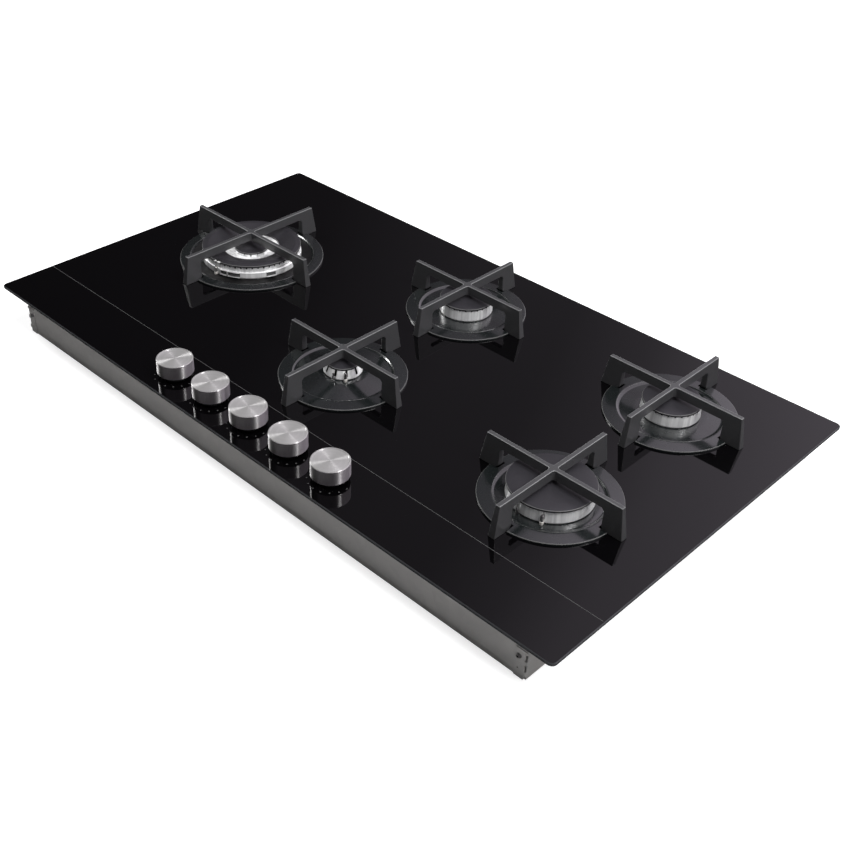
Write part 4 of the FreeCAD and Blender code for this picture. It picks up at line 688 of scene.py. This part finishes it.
class COOKTOP_OT_plates(bpy.types.Operator):
    """Presses the enamelled burner plates, with a rolled rim, a raised ring and leg notches"""
    bl_idname = "cooktop.burner_plates"
    bl_label = "Burner plates"

    def execute(self, context):
        sizes = context.scene.cooktop_plates
        for name, family in BURNERS:
            node = "burner_plate_" + name
            large = family == "wok"
            rim = half_width(node)
            step = sizes.wok_step if large else sizes.step
            head = head_radius(name)
            bore = CUP_RADIUS[family] + CUP_GAP
            hub = PLATE_HUB[family]
            mesh = bmesh.new()
            profile = (
                (rim, 0), (rim, sizes.rim), (step + sizes.crest_width, sizes.crest),
                (step, sizes.crest), (step - sizes.step_run, sizes.dish),
                (head + sizes.hub_margin, hub), (bore, hub))
            lathe(mesh, profile, PLATE_STEPS, ring=False)
            # The rounded rim and raised ring get a paler finish: a painted highlight.
            rim_highlights = soften(mesh, rings(mesh, profile[1]), sizes.roll, 4)
            rim_highlights += soften(mesh, rings(mesh, profile[2], profile[3]), CREST_BEVEL, 3)
            for face in rim_highlights:
                face.material_index = RIM_HIGHLIGHT * int(within(abs(face.normal.z), PLATE_HIGHLIGHT_FACING))
            soften(mesh, rings(mesh, profile[4]), SLOPE_BEVEL, 4)
            soften(mesh, rings(mesh, profile[5]), DISH_BEVEL, 3)
            notch = sizes.wok_notch_reach if large else sizes.notch_reach
            for quarter in range(4):
                cut_notch(mesh, quarter * FULL_TURN / 4, notch, sizes.notch)
            # Splits the many-sided faces that the cuts leave, by their shape, so that their
            # triangles agree from run to run.
            uneven = [face for face in mesh.faces if len(face.verts) > 4]
            bmesh.ops.triangulate(mesh, faces=uneven, quad_method="SHORT_EDGE",
                                  ngon_method="BEAUTY")
            bmesh.ops.recalc_face_normals(mesh, faces=mesh.faces)
            upward = sum(face.normal.z * face.calc_area() for face in mesh.faces)
            if upward < 0:
                bmesh.ops.reverse_faces(mesh, faces=mesh.faces)
            bmesh.ops.solidify(mesh, geom=mesh.faces[:], thickness=sizes.sheet)
            # Inside its raised ring the large plate gets a near-black finish: painted shade under
            # the head.
            if large:
                for face in mesh.faces:
                    if reach_of(face.calc_center_median()) < step - sizes.step_run:
                        face.material_index = WELL_SHADE
            finishes = [FINISHES["grey_enamel"], painted_light_finish("well_painted_shade"),
                        painted_light_finish("rim_painted_highlight")]
            piece(node + "_pressed", mesh, finishes, "hob", [node],
                  at=burner_place(name))
        return {"FINISHED"}


def cut_notch(mesh, angle, reach, half):
    """Cuts a leg's notch into the edge of a plate, at a turn about its middle."""
    out, across = directions(angle)

    def near():
        faces = [face for face in mesh.faces
                 if face.calc_center_median().dot(out) > reach - NOTCH_MARGIN
                 and abs(face.calc_center_median().dot(across)) < 3 * half]
        # A dict keeps the order of the faces, which a set doesn't.
        edges = dict.fromkeys(edge for face in faces for edge in face.edges)
        verts = dict.fromkeys(vert for face in faces for vert in face.verts)
        return faces + list(edges) + list(verts)

    for spot, normal in ((across * half, across), (-across * half, across), (out * reach, out)):
        bmesh.ops.bisect_plane(mesh, geom=near(), dist=MERGE, plane_co=spot, plane_no=normal)
    gone = [face for face in mesh.faces
            if face.calc_center_median().dot(out) > reach
            and abs(face.calc_center_median().dot(across)) < half]
    bmesh.ops.delete(mesh, geom=gone, context="FACES")


# Places of a piece's second and third finish: on a plate the painted shade of its well and the
# painted highlight of its rim lines, on a head the painted shade in its slots and on the backs of
# its windows.
WELL_SHADE, RIM_HIGHLIGHT = 1, 2
SLOT_SHADE, WINDOW_SHADE = 1, 2

# Radius of each family's cup, height of its plate's hub, turn of its igniter, number of ports.
CUP_RADIUS = {"wok": 39 * MM, "rapid": 29 * MM, "medium": 21 * MM, "simmer": 14 * MM}
PLATE_HUB = {"wok": 1.4 * MM, "rapid": 2.4 * MM, "medium": 2.4 * MM, "simmer": 6.2 * MM}
IGNITER_TURN = {"wok": -84, "rapid": -62, "medium": 118, "simmer": -37}
SENSOR_TURN = -34
PORTS = {"wok": 54, "rapid": 36, "medium": 28, "simmer": 10}
INNER_PORTS = 16

# Turn steps for one port and the last of those that its slot takes, for each kind of port.
PORT_STEPS, PORT_SLOT = 8, 1
SIMMER_PORT_STEPS, SIMMER_PORT_SLOT = 24, 4
INNER_PORT_SLOT = 4

CUP_GAP = 0.4 * MM
CAP_GAP = 0.4 * MM
NOTCH_MARGIN = 6 * MM
HEAD_GAP = 1.2 * MM
THROAT = 7 * MM
SKIRT_GAP = 2.8 * MM
SKIRT_WALL = 2 * MM
HEAD_WALL = 3 * MM
HEAD_DECK = 3 * MM
WOK_DECK = 5.5 * MM
POST_RADIUS = 2.2 * MM
INNER_RING_WIDTH = 5 * MM


def head_radius(name):
    return half_width("burner_head_" + name)


class COOKTOP_OT_heads(bpy.types.Operator):
    """Casts the burner heads, with their flame slots and the grooves for the posts"""
    bl_idname = "cooktop.burner_heads"
    bl_label = "Burner heads"

    def execute(self, context):
        sizes = context.scene.cooktop_heads
        for name, family in BURNERS:
            node = "burner_head_" + name
            mesh = bmesh.new()
            if family == "wok":
                wok_head(mesh, name)
            elif family == "simmer":
                simmer_head(mesh, name)
            else:
                ring_head(mesh, name, family)
            reach = head_radius(name) + sizes.post_offset
            for degrees in (IGNITER_TURN[family], IGNITER_TURN[family] + SENSOR_TURN):
                scallop(mesh, math.radians(degrees), reach, POST_RADIUS + sizes.post_gap)
            # The heads' second and third finishes are painted shade in the slots and on the
            # window backs.
            finishes = [FINISHES["cast_aluminium"], painted_light_finish("slot_painted_shade"),
                        painted_light_finish("window_painted_shade")]
            piece(node + "_cast", mesh, finishes, "head_" + name, [node],
                  at=burner_place(name))
        return {"FINISHED"}


def head_levels(name, family):
    """Top, floor and skirt foot of a head above the glass."""
    low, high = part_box("burner_head_" + name)
    floor = PLATE_HUB[family] + HEAD_GAP
    return high.z - GLASS_TOP, floor, low.z - GLASS_TOP


def under_profile(family, edge, floor, foot, ceiling):
    """Underside of a head from its throat to its lower outer edge."""
    outer = CUP_RADIUS[family] - SKIRT_GAP
    inner = outer - SKIRT_WALL
    wall = edge - HEAD_WALL
    return ((THROAT, ceiling), (inner, ceiling), (inner, foot), (outer, foot),
            (outer, ceiling), (wall, ceiling), (wall, floor), (edge, floor))


def cut_ports(mesh, slot, top, steps):
    """Raises the teeth between the slots of a turned ring and paints shade into the slots."""
    teeth = [face for face in mesh.faces
             if level(face, slot) and column(face, steps) % PORT_STEPS > PORT_SLOT]
    raise_faces(mesh, teeth, top - slot)
    paint_slot_shade(mesh, slot, top)


def ring_head(mesh, name, family):
    """The rapid and medium heads: a slotted ring round a sunk seat."""
    sizes = bpy.context.scene.cooktop_heads
    top, floor, foot = head_levels(name, family)
    edge = head_radius(name)
    rim_out = edge - sizes.taper
    rim_in = rim_out - sizes.rim
    slot = top - sizes.port_depth
    deck = top - sizes.recess
    steps = PORTS[family] * PORT_STEPS
    lathe(mesh, ((rim_out, slot), (rim_in, slot), (rim_in, deck), (THROAT, deck))
          + under_profile(family, edge, floor, foot, deck - HEAD_DECK), steps)
    soften(mesh, rings(mesh, (edge, floor)), FOOT_BEVEL, 3)
    cut_ports(mesh, slot, top, steps)
    tops = [item for item in mesh.edges if level(item, top) and item.calc_face_angle(0) > 1]
    soften(mesh, tops, TOOTH_BEVEL, 2)


def paint_slot_shade(mesh, low, high):
    """Paints shade onto the floors and cheeks of the flame slots with a dark finish."""
    for face in mesh.faces:
        middle = face.calc_center_median()
        outward = Vector((middle.x, middle.y, 0)).normalized()
        cheek = (low < middle.z < high and abs(face.normal.z) < 0.5
                 and abs(face.normal.dot(outward)) < 0.5)
        if cheek or level(face, low):
            face.material_index = SLOT_SHADE


def simmer_head(mesh, name):
    """The smallest head: ten lobes with deep slots between them."""
    sizes = bpy.context.scene.cooktop_heads
    top, floor, foot = head_levels(name, "simmer")
    edge = head_radius(name)
    rim_out = edge - sizes.simmer_taper
    rim_in = rim_out - sizes.rim
    slot = top - sizes.simmer_port_depth
    root = edge - sizes.simmer_port_reach
    share = (slot - floor) / (top - floor)
    ledge = edge - sizes.simmer_taper * share
    deck = top - sizes.recess
    steps = PORTS["simmer"] * SIMMER_PORT_STEPS
    lathe(mesh, ((ledge, slot), (root, slot), (rim_in, slot), (THROAT, slot))
          + under_profile("simmer", edge, floor, foot, slot - HEAD_DECK), steps)
    soften(mesh, rings(mesh, (edge, floor)), FOOT_BEVEL, 3)
    raised = [face for face in mesh.faces
              if level(face, slot) and rim_in < reach_of(face.calc_center_median())
              and (reach_of(face.calc_center_median()) < root
                   or column(face, steps) % SIMMER_PORT_STEPS > SIMMER_PORT_SLOT)]
    verts = raise_faces(mesh, raised, sizes.simmer_port_depth)
    for vert in verts:
        if reach_of(vert.co) > root + NEAR:
            shrink = rim_out / reach_of(vert.co)
            vert.co.x *= shrink
            vert.co.y *= shrink
    lobes = [item for item in mesh.edges
             if len(item.link_faces) == 2 and item.calc_face_angle() > math.radians(50)
             and abs(item.verts[0].co.z - item.verts[1].co.z) > 2 * MM
             and min(reach_of(vert.co) for vert in item.verts) > root + NEAR]
    soften(mesh, lobes, LOBE_BEVEL, 3)
    tops = [item for item in mesh.edges if level(item, top) and item.calc_face_angle(0) > 1]
    soften(mesh, tops, LOBE_TOP_BEVEL, 2)
    paint_slot_shade(mesh, slot, top)
    # The roots of the slots get painted shade too.
    for face in mesh.faces:
        middle = face.calc_center_median()
        if slot < middle.z < top and abs(reach_of(middle) - root) < 0.2 * MM:
            face.material_index = SLOT_SHADE


# Levels and radii of the large head's tiers and crown; turn and width of its windows.
WOK_TIER = 10.2 * MM
WOK_TIER_STEP = 1.6 * MM
WOK_CROWN = 36 * MM
WOK_CROWN_FOOT = 24.5 * MM
WOK_INNER_RING = 22.5 * MM
WOK_INNER_TOP = 13.4 * MM
WOK_WINDOWS = ((-74, 9 * MM), (-60.5, 17 * MM), (-17.5, 12.5 * MM))
WOK_WINDOW_FOOT = 0.6 * MM
WOK_WINDOW_HEIGHT = 6.4 * MM
WOK_WINDOW_DEPTH = 1.5 * MM


def wok_head(mesh, name):
    """The large head: a lower tier with windows, a slotted ring and an inner crown."""
    sizes = bpy.context.scene.cooktop_heads
    top, floor, foot = head_levels(name, "wok")
    edge = head_radius(name)
    narrow = edge - WOK_TIER_STEP
    rim_in = edge - sizes.taper - sizes.rim
    slot = top - sizes.wok_port_depth
    deck = top - sizes.wok_recess
    valley = WOK_INNER_TOP - sizes.wok_port_depth
    ring_in = WOK_INNER_RING - INNER_RING_WIDTH
    well = WOK_INNER_TOP - sizes.recess
    window_foot = floor + WOK_WINDOW_FOOT
    window_top = window_foot + WOK_WINDOW_HEIGHT
    steps = PORTS["wok"] * PORT_STEPS
    upper = (
        (edge, window_foot), (edge, window_top), (edge, WOK_TIER), (narrow, WOK_TIER),
        (narrow, slot), (rim_in, slot), (rim_in, deck), (WOK_CROWN, deck),
        (WOK_CROWN_FOOT, valley), (WOK_INNER_RING, valley), (ring_in, valley), (ring_in, well),
        (THROAT, well))
    lathe(mesh, upper + under_profile("wok", edge, floor, foot, deck - WOK_DECK), steps)
    soften(mesh, rings(mesh, (edge, floor), (edge, WOK_TIER)), FOOT_BEVEL, 3)
    wok_windows(mesh, edge, window_foot, window_top)
    cut_ports(mesh, slot, top, steps)
    inner = [face for face in mesh.faces
             if level(face, valley) and reach_of(face.calc_center_median()) < WOK_INNER_RING
             and column(face, steps) % (steps // INNER_PORTS) > INNER_PORT_SLOT]
    raise_faces(mesh, inner, sizes.wok_port_depth)
    tops = [item for item in mesh.edges
            if level(item, top)
            and narrow + NEAR > min(reach_of(vert.co) for vert in item.verts) > rim_in - NEAR
            and item.calc_face_angle(0) > 1]
    soften(mesh, tops, TOOTH_BEVEL, 2)


def wok_windows(mesh, edge, low, high):
    """Sinks the windows into the lower tier of the large head and paints shade on their backs."""
    for half_turn in (0, 180):
        for degrees, width in WOK_WINDOWS:
            out, across = directions(math.radians(degrees + half_turn))
            faces = [face for face in mesh.faces
                     if low < face.calc_center_median().z < high
                     and face.normal.dot(out) > 0.3
                     and reach_of(face.calc_center_median()) > edge - NEAR * 2
                     and abs(face.calc_center_median().dot(across)) < width / 2]
            grown = bmesh.ops.extrude_face_region(mesh, geom=faces)["geom"]
            verts = new_verts(grown)
            bmesh.ops.delete(mesh, geom=[face for face in faces if face.is_valid],
                             context="FACES_ONLY")
            bmesh.ops.translate(mesh, verts=verts, vec=-out * WOK_WINDOW_DEPTH)
            # The sunk faces of a window get a grey finish: painted shade for the opening.
            for item in grown:
                if isinstance(item, bmesh.types.BMFace):
                    item.material_index = WINDOW_SHADE


class COOKTOP_OT_caps(bpy.types.Operator):
    """Turns the enamelled caps of the burners, with a crowned top and a locating ring"""
    bl_idname = "cooktop.burner_caps"
    bl_label = "Burner caps"

    def execute(self, context):
        heads = context.scene.cooktop_heads
        # A cap's second finish is a painted highlight on its rounded edge.
        finishes = [FINISHES["dark_enamel"], painted_light_finish("cap_painted_highlight")]
        for name, family in BURNERS:
            node = "burner_cap_" + name
            # The notch narrows the ring's box on one side, so the other gives its radius.
            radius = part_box(node)[1].x - burner_place(name).x
            seat = head_levels(name, family)[0]
            taper = heads.simmer_taper if family == "simmer" else heads.taper
            spigot = head_radius(name) - taper - heads.rim - CAP_GAP
            mesh = bmesh.new()
            if family == "wok":
                turn_ring_cap(mesh, radius, seat, spigot)
                notch_cap(mesh, radius)
            else:
                turn_cap(mesh, radius, seat, spigot)
            piece(node + "_turned", mesh, finishes, "cap_" + name, [node],
                  at=burner_place(name))
        node = "burner_cap_wok_inner"
        mesh = bmesh.new()
        turn_cap(mesh, half_width(node), WOK_INNER_TOP,
                 WOK_INNER_RING - INNER_RING_WIDTH - CAP_GAP)
        piece(node + "_turned", mesh, finishes, "cap_wok_inner", [node],
              at=burner_place("wok"))
        return {"FINISHED"}


def turn_cap(mesh, radius, seat, spigot):
    """A crowned round cap that sits at a seat height, with its ring underneath."""
    sizes = bpy.context.scene.cooktop_caps
    edge = seat + sizes.edge
    foot = seat - sizes.spigot
    well = spigot - sizes.spigot_wall
    lathe(mesh, (
        (0, edge + sizes.crown), (radius - 3 * sizes.shoulder, edge + sizes.crown - MERGE),
        (radius - sizes.shoulder, edge + sizes.crown / 2), (radius, edge), (radius, seat),
        (spigot, seat), (spigot, foot), (well, foot), (well, seat + sizes.hollow),
        (0, seat + sizes.hollow)), ROUND_STEPS, ring=False)
    paint_cap_highlight(soften(mesh, rings(mesh, (radius, edge)), sizes.bevel, 4))
    soften(mesh, rings(mesh, (radius, seat)), SEAT_BEVEL, 2)


def paint_cap_highlight(faces):
    """Paints a highlight onto the rounded edge of a cap with a paler finish."""
    for face in faces:
        face.material_index = int(within(face.normal.z, CAP_HIGHLIGHT_FACING))


def turn_ring_cap(mesh, radius, seat, spigot):
    """The large ring cap, dished down to its hole."""
    sizes = bpy.context.scene.cooktop_caps
    edge = seat + sizes.edge
    foot = seat - sizes.spigot
    well = spigot - sizes.spigot_wall
    lip = seat - bpy.context.scene.cooktop_heads.wok_recess + sizes.gap
    lathe(mesh, (
        (WOK_CROWN, lip), (WOK_CROWN, lip + sizes.sheet), (sizes.crest, edge + sizes.crown),
        (radius - sizes.shoulder, edge + sizes.crown / 2), (radius, edge), (radius, seat),
        (spigot, seat), (spigot, foot), (well, foot), (well, seat)), RING_CAP_STEPS)
    paint_cap_highlight(soften(mesh, rings(mesh, (radius, edge)), sizes.bevel, 4))
    soften(mesh, rings(mesh, (sizes.crest, edge + sizes.crown)), RING_CREST_BEVEL, 4)
    soften(mesh, rings(mesh, (WOK_CROWN, lip + sizes.sheet)), RING_LIP_BEVEL, 3)
    soften(mesh, rings(mesh, (radius, seat)), SEAT_BEVEL, 2)


def notch_cap(mesh, radius):
    """Presses in the edge of the ring cap over the igniter."""
    sizes = bpy.context.scene.cooktop_caps
    out, across = directions(math.radians(IGNITER_TURN["wok"]))
    limit = radius - sizes.notch
    for vert in mesh.verts:
        along, aside = vert.co.dot(out), vert.co.dot(across)
        if abs(aside) < sizes.notch_half and along > limit:
            vert.co += out * (limit - along)


# Radius and height, in millimetres, along each post's ceramic or lower part and its steel tip.
IGNITER_PROFILES = (
    ((0, 0), (2.2, 0), (2.2, 3.0), (1.75, 3.4)),
    ((1.75, 3.4), (1.75, 10.0), (1.35, 10.5), (0.9, 10.5), (0.9, 11.3), (0.6, 11.7), (0, 11.7)))
SENSOR_PROFILES = (
    ((0, 0), (1.5, 0), (1.5, 5.6), (1.1, 6.2), (1.1, 9.3), (0.6, 10.0), (0, 10.0)),)


class COOKTOP_OT_igniters(bpy.types.Operator):
    """Turns the ceramic igniters with their steel tips, and the flame sensors"""
    bl_idname = "cooktop.igniters"
    bl_label = "Igniters and flame sensors"

    def execute(self, context):
        offset = context.scene.cooktop_heads.post_offset
        igniters, sensors = bmesh.new(), bmesh.new()
        for name, family in BURNERS:
            foot = burner_place(name) + Vector((0, 0, PLATE_HUB[family]))
            for mesh, degrees, parts in ((igniters, 0, IGNITER_PROFILES),
                                         (sensors, SENSOR_TURN, SENSOR_PROFILES)):
                out, across = directions(math.radians(IGNITER_TURN[family] + degrees))
                for index, profile in enumerate(parts):
                    add_post(mesh, foot + (head_radius(name) + offset) * out, profile, index)
        piece("igniter_posts", igniters, [FINISHES["ceramic"], FINISHES["bright_steel"]], "hob",
              ["igniters"], weighted=False)
        piece("flame_sensor_posts", sensors, [FINISHES["bright_steel"]], "hob",
              ["flame_sensors"], weighted=False)
        return {"FINISHED"}


def add_post(mesh, place, profile, index):
    """Adds one turned post, given in millimetres, to a mesh that holds several."""
    single = bmesh.new()
    lathe(single, [(radius * MM, height * MM) for radius, height in profile],
          POST_STEPS, ring=False)
    for face in single.faces:
        face.material_index = index
    bmesh.ops.translate(single, verts=single.verts, vec=place)
    join(mesh, single)


def join(mesh, other):
    """Moves another mesh under way into this one."""
    carrier = bpy.data.meshes.new("carrier")
    other.to_mesh(carrier)
    other.free()
    mesh.from_mesh(carrier)
    bpy.data.meshes.remove(carrier)


# ---------------------------------------------------------------- stage
CAMERA_PLACE = Vector((0.8154, -0.8510, 0.8085))
CAMERA_AXES = (Vector((0.7023, 0.7116, 0.0180)), Vector((-0.4305, 0.4045, 0.8068)),
               Vector((0.5669, -0.5744, 0.5905)))


def lamp(name, azimuth, elevation, distance, size, power, mirrored):
    """A soft area lamp that looks at the middle of the cooktop, seen in gloss or not."""
    data = bpy.data.lights.new(name, "AREA")
    data.shape = "RECTANGLE"
    data.size, data.size_y = size
    data.energy = power
    thing = bpy.data.objects.new(name, data)
    bpy.context.scene.collection.objects.link(thing)
    a, e = math.radians(azimuth), math.radians(elevation)
    out = Vector((math.cos(a) * math.cos(e), math.sin(a) * math.cos(e), math.sin(e)))
    thing.location = out * distance + Vector((0, 0, GLASS_TOP))
    thing.rotation_euler = out.to_track_quat("Z", "Y").to_euler()
    thing.visible_glossy = mirrored


def by_ray(tree, plain, mirrored, seen, target):
    """Gives one shader to rays from gloss, one to rays from the camera, one to the rest."""
    ray = add_node(tree, "ShaderNodeLightPath").outputs
    direct = add_node(tree, "ShaderNodeMath", {
        0: ray["Is Camera Ray"], 1: ray["Is Transmission Ray"]}, operation="MAXIMUM")
    lower = add_node(tree, "ShaderNodeMixShader", {
        0: ray["Is Glossy Ray"], 1: plain.outputs[0], 2: mirrored.outputs[0]})
    mix = add_node(tree, "ShaderNodeMixShader", {
        0: direct.outputs[0], 1: lower.outputs[0], 2: seen.outputs[0]})
    tree.links.new(mix.outputs[0], target)


# Level of the world as glossy rays see it, along X from the left (0) to the right (1), and its
# tint. It fades toward the front, between two values of Y.
MIRROR_STOPS = ((0.08, 0.02), (0.125, 0.03), (0.17, 0.045), (0.225, 0.14), (0.26, 0.16),
                (0.29, 0.28), (0.316, 0.53), (0.336, 0.62), (0.36, 0.78))
MIRROR_TINT = (0.97, 0.88, 1.0)
MIRROR_FADE = {"From Min": -0.1, "From Max": 0.35, "To Min": 0.12}


def world_light(scene):
    """Even soft light; white behind the object; a dark side for reflections in the glass."""
    world = bpy.data.worlds.new("studio")
    scene.world = world
    world.use_nodes = True
    tree = world.node_tree
    plain = tree.nodes["Background"]
    plain.inputs["Strength"].default_value = scene.cooktop_stage.ambient
    plain.inputs["Color"].default_value = (1, 1, 1, 1)
    white = add_node(tree, "ShaderNodeBackground", {"Color": (1, 1, 1, 1)})
    place = add_node(tree, "ShaderNodeTexCoord").outputs["Generated"]
    split = add_node(tree, "ShaderNodeSeparateXYZ", {0: place}).outputs
    shift = add_node(tree, "ShaderNodeMath", {0: split["X"], 1: 0.5, 2: 0.5},
                     operation="MULTIPLY_ADD")
    ramp = add_node(tree, "ShaderNodeValToRGB", {"Fac": shift.outputs["Value"]})
    stops = ramp.color_ramp.elements
    stops.remove(stops[1])
    stops[0].position, level_of = MIRROR_STOPS[0]
    stops[0].color = (level_of, level_of, level_of, 1)
    for position, level_of in MIRROR_STOPS[1:]:
        stops.new(position).color = (*(level_of * part for part in MIRROR_TINT), 1)
    fade = add_node(tree, "ShaderNodeMapRange", {"Value": split["Y"], **MIRROR_FADE})
    mirrored = add_node(tree, "ShaderNodeBackground", {
        "Color": ramp.outputs["Color"], "Strength": fade.outputs["Result"]})
    by_ray(tree, plain, mirrored, white, tree.nodes["World Output"].inputs["Surface"])


FLOOR_GREY = (0.55, 0.55, 0.55, 1)
FLOOR_IN_GLOSS = (0.03, 0.03, 0.03, 1)
# Glow of the floor as the camera sees it, from near the object to far from it, in metres.
FLOOR_GLOW = {"From Min": 1.2, "From Max": 3.0, "To Min": 0.72, "To Max": 1.1}


def floor_finish():
    """A pale floor: white where it is seen, with the object's shadow kept on it."""
    material = bpy.data.materials.new("studio_floor")
    material.use_nodes = True
    tree = material.node_tree
    tree.nodes.remove(tree.nodes["Principled BSDF"])
    plain = add_node(tree, "ShaderNodeBsdfDiffuse", {"Color": FLOOR_GREY})
    dim = add_node(tree, "ShaderNodeBsdfDiffuse", {"Color": FLOOR_IN_GLOSS})
    place = add_node(tree, "ShaderNodeTexCoord").outputs["Object"]
    away = add_node(tree, "ShaderNodeVectorMath", {0: place}, operation="LENGTH")
    paler = add_node(tree, "ShaderNodeMapRange", {"Value": away.outputs["Value"], **FLOOR_GLOW},
                     interpolation_type="SMOOTHSTEP")
    glow = add_node(tree, "ShaderNodeEmission", {"Strength": paler.outputs["Result"]})
    seen = add_node(tree, "ShaderNodeAddShader", {0: plain.outputs[0], 1: glow.outputs[0]})
    by_ray(tree, plain, dim, seen, tree.nodes["Material Output"].inputs["Surface"])
    return material


class COOKTOP_OT_stage(bpy.types.Operator):
    """Sets the pale floor, the soft lamps, the world and the camera"""
    bl_idname = "cooktop.stage"
    bl_label = "Stage"

    def execute(self, context):
        scene = context.scene
        sizes = scene.cooktop_stage
        mesh = bmesh.new()
        bmesh.ops.create_grid(mesh, x_segments=1, y_segments=1, size=sizes.floor)
        data = bpy.data.meshes.new("floor")
        mesh.to_mesh(data)
        mesh.free()
        data.materials.append(floor_finish())
        floor = bpy.data.objects.new("floor", data)
        scene.collection.objects.link(floor)
        # Name, azimuth, elevation, distance, size, power, and whether gloss mirrors it.
        for values in (("right_softbox", 5, 38, 2.4, (1.3, 1.3), sizes.key, False),
                       ("strip_lamp", 10, 52, 2.2, (0.14, 1.0), sizes.strip, True),
                       ("left_softbox", 188, 30, 2.3, (0.3, 0.8), sizes.fill, True),
                       ("overhead_softbox", 10, 76, 2.4, (1.6, 1.6), sizes.overhead, False)):
            lamp(*values)
        world_light(scene)
        data = bpy.data.cameras.new("camera")
        data.lens = sizes.focal
        data.sensor_width = 36
        data.shift_x = sizes.shift
        data.clip_end = 100
        camera = bpy.data.objects.new("camera", data)
        scene.collection.objects.link(camera)
        right, up, back = CAMERA_AXES
        camera.rotation_euler = Matrix((right, up, back)).transposed().to_euler()
        camera.location = CAMERA_PLACE
        scene.camera = camera
        scene.view_settings.view_transform = "Standard"
        return {"FINISHED"}


OPERATORS = (
    COOKTOP_OT_carried_nodes, COOKTOP_OT_print, COOKTOP_OT_knobs, COOKTOP_OT_pan_supports,
    COOKTOP_OT_plates, COOKTOP_OT_heads, COOKTOP_OT_caps, COOKTOP_OT_igniters,
    COOKTOP_OT_stage,
)


class COOKTOP_PT_pieces(bpy.types.Panel):
    """Lists the pieces of the cooktop"""
    bl_idname = "COOKTOP_PT_pieces"
    bl_label = "Gas cooktop"
    bl_space_type = "VIEW_3D"
    bl_region_type = "UI"
    bl_category = "Cooktop"

    def draw(self, context):
        for operator in OPERATORS:
            self.layout.operator(operator.bl_idname)


def register():
    for name, group in GROUPS:
        bpy.utils.register_class(group)
        setattr(bpy.types.Scene, name, PointerProperty(type=group))
    for operator in OPERATORS:
        bpy.utils.register_class(operator)
    bpy.utils.register_class(COOKTOP_PT_pieces)


def unregister():
    bpy.utils.unregister_class(COOKTOP_PT_pieces)
    for operator in reversed(OPERATORS):
        bpy.utils.unregister_class(operator)
    for name, group in reversed(GROUPS):
        delattr(bpy.types.Scene, name)
        bpy.utils.unregister_class(group)


def main():
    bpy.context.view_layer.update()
    register()
    bpy.ops.cooktop.carried_nodes()
    bpy.ops.cooktop.glass_print()
    bpy.ops.cooktop.knobs()
    bpy.ops.cooktop.pan_supports()
    bpy.ops.cooktop.burner_plates()
    bpy.ops.cooktop.burner_heads()
    bpy.ops.cooktop.burner_caps()
    bpy.ops.cooktop.igniters()
    bpy.ops.cooktop.stage()


if __name__ == "__main__":
    main()
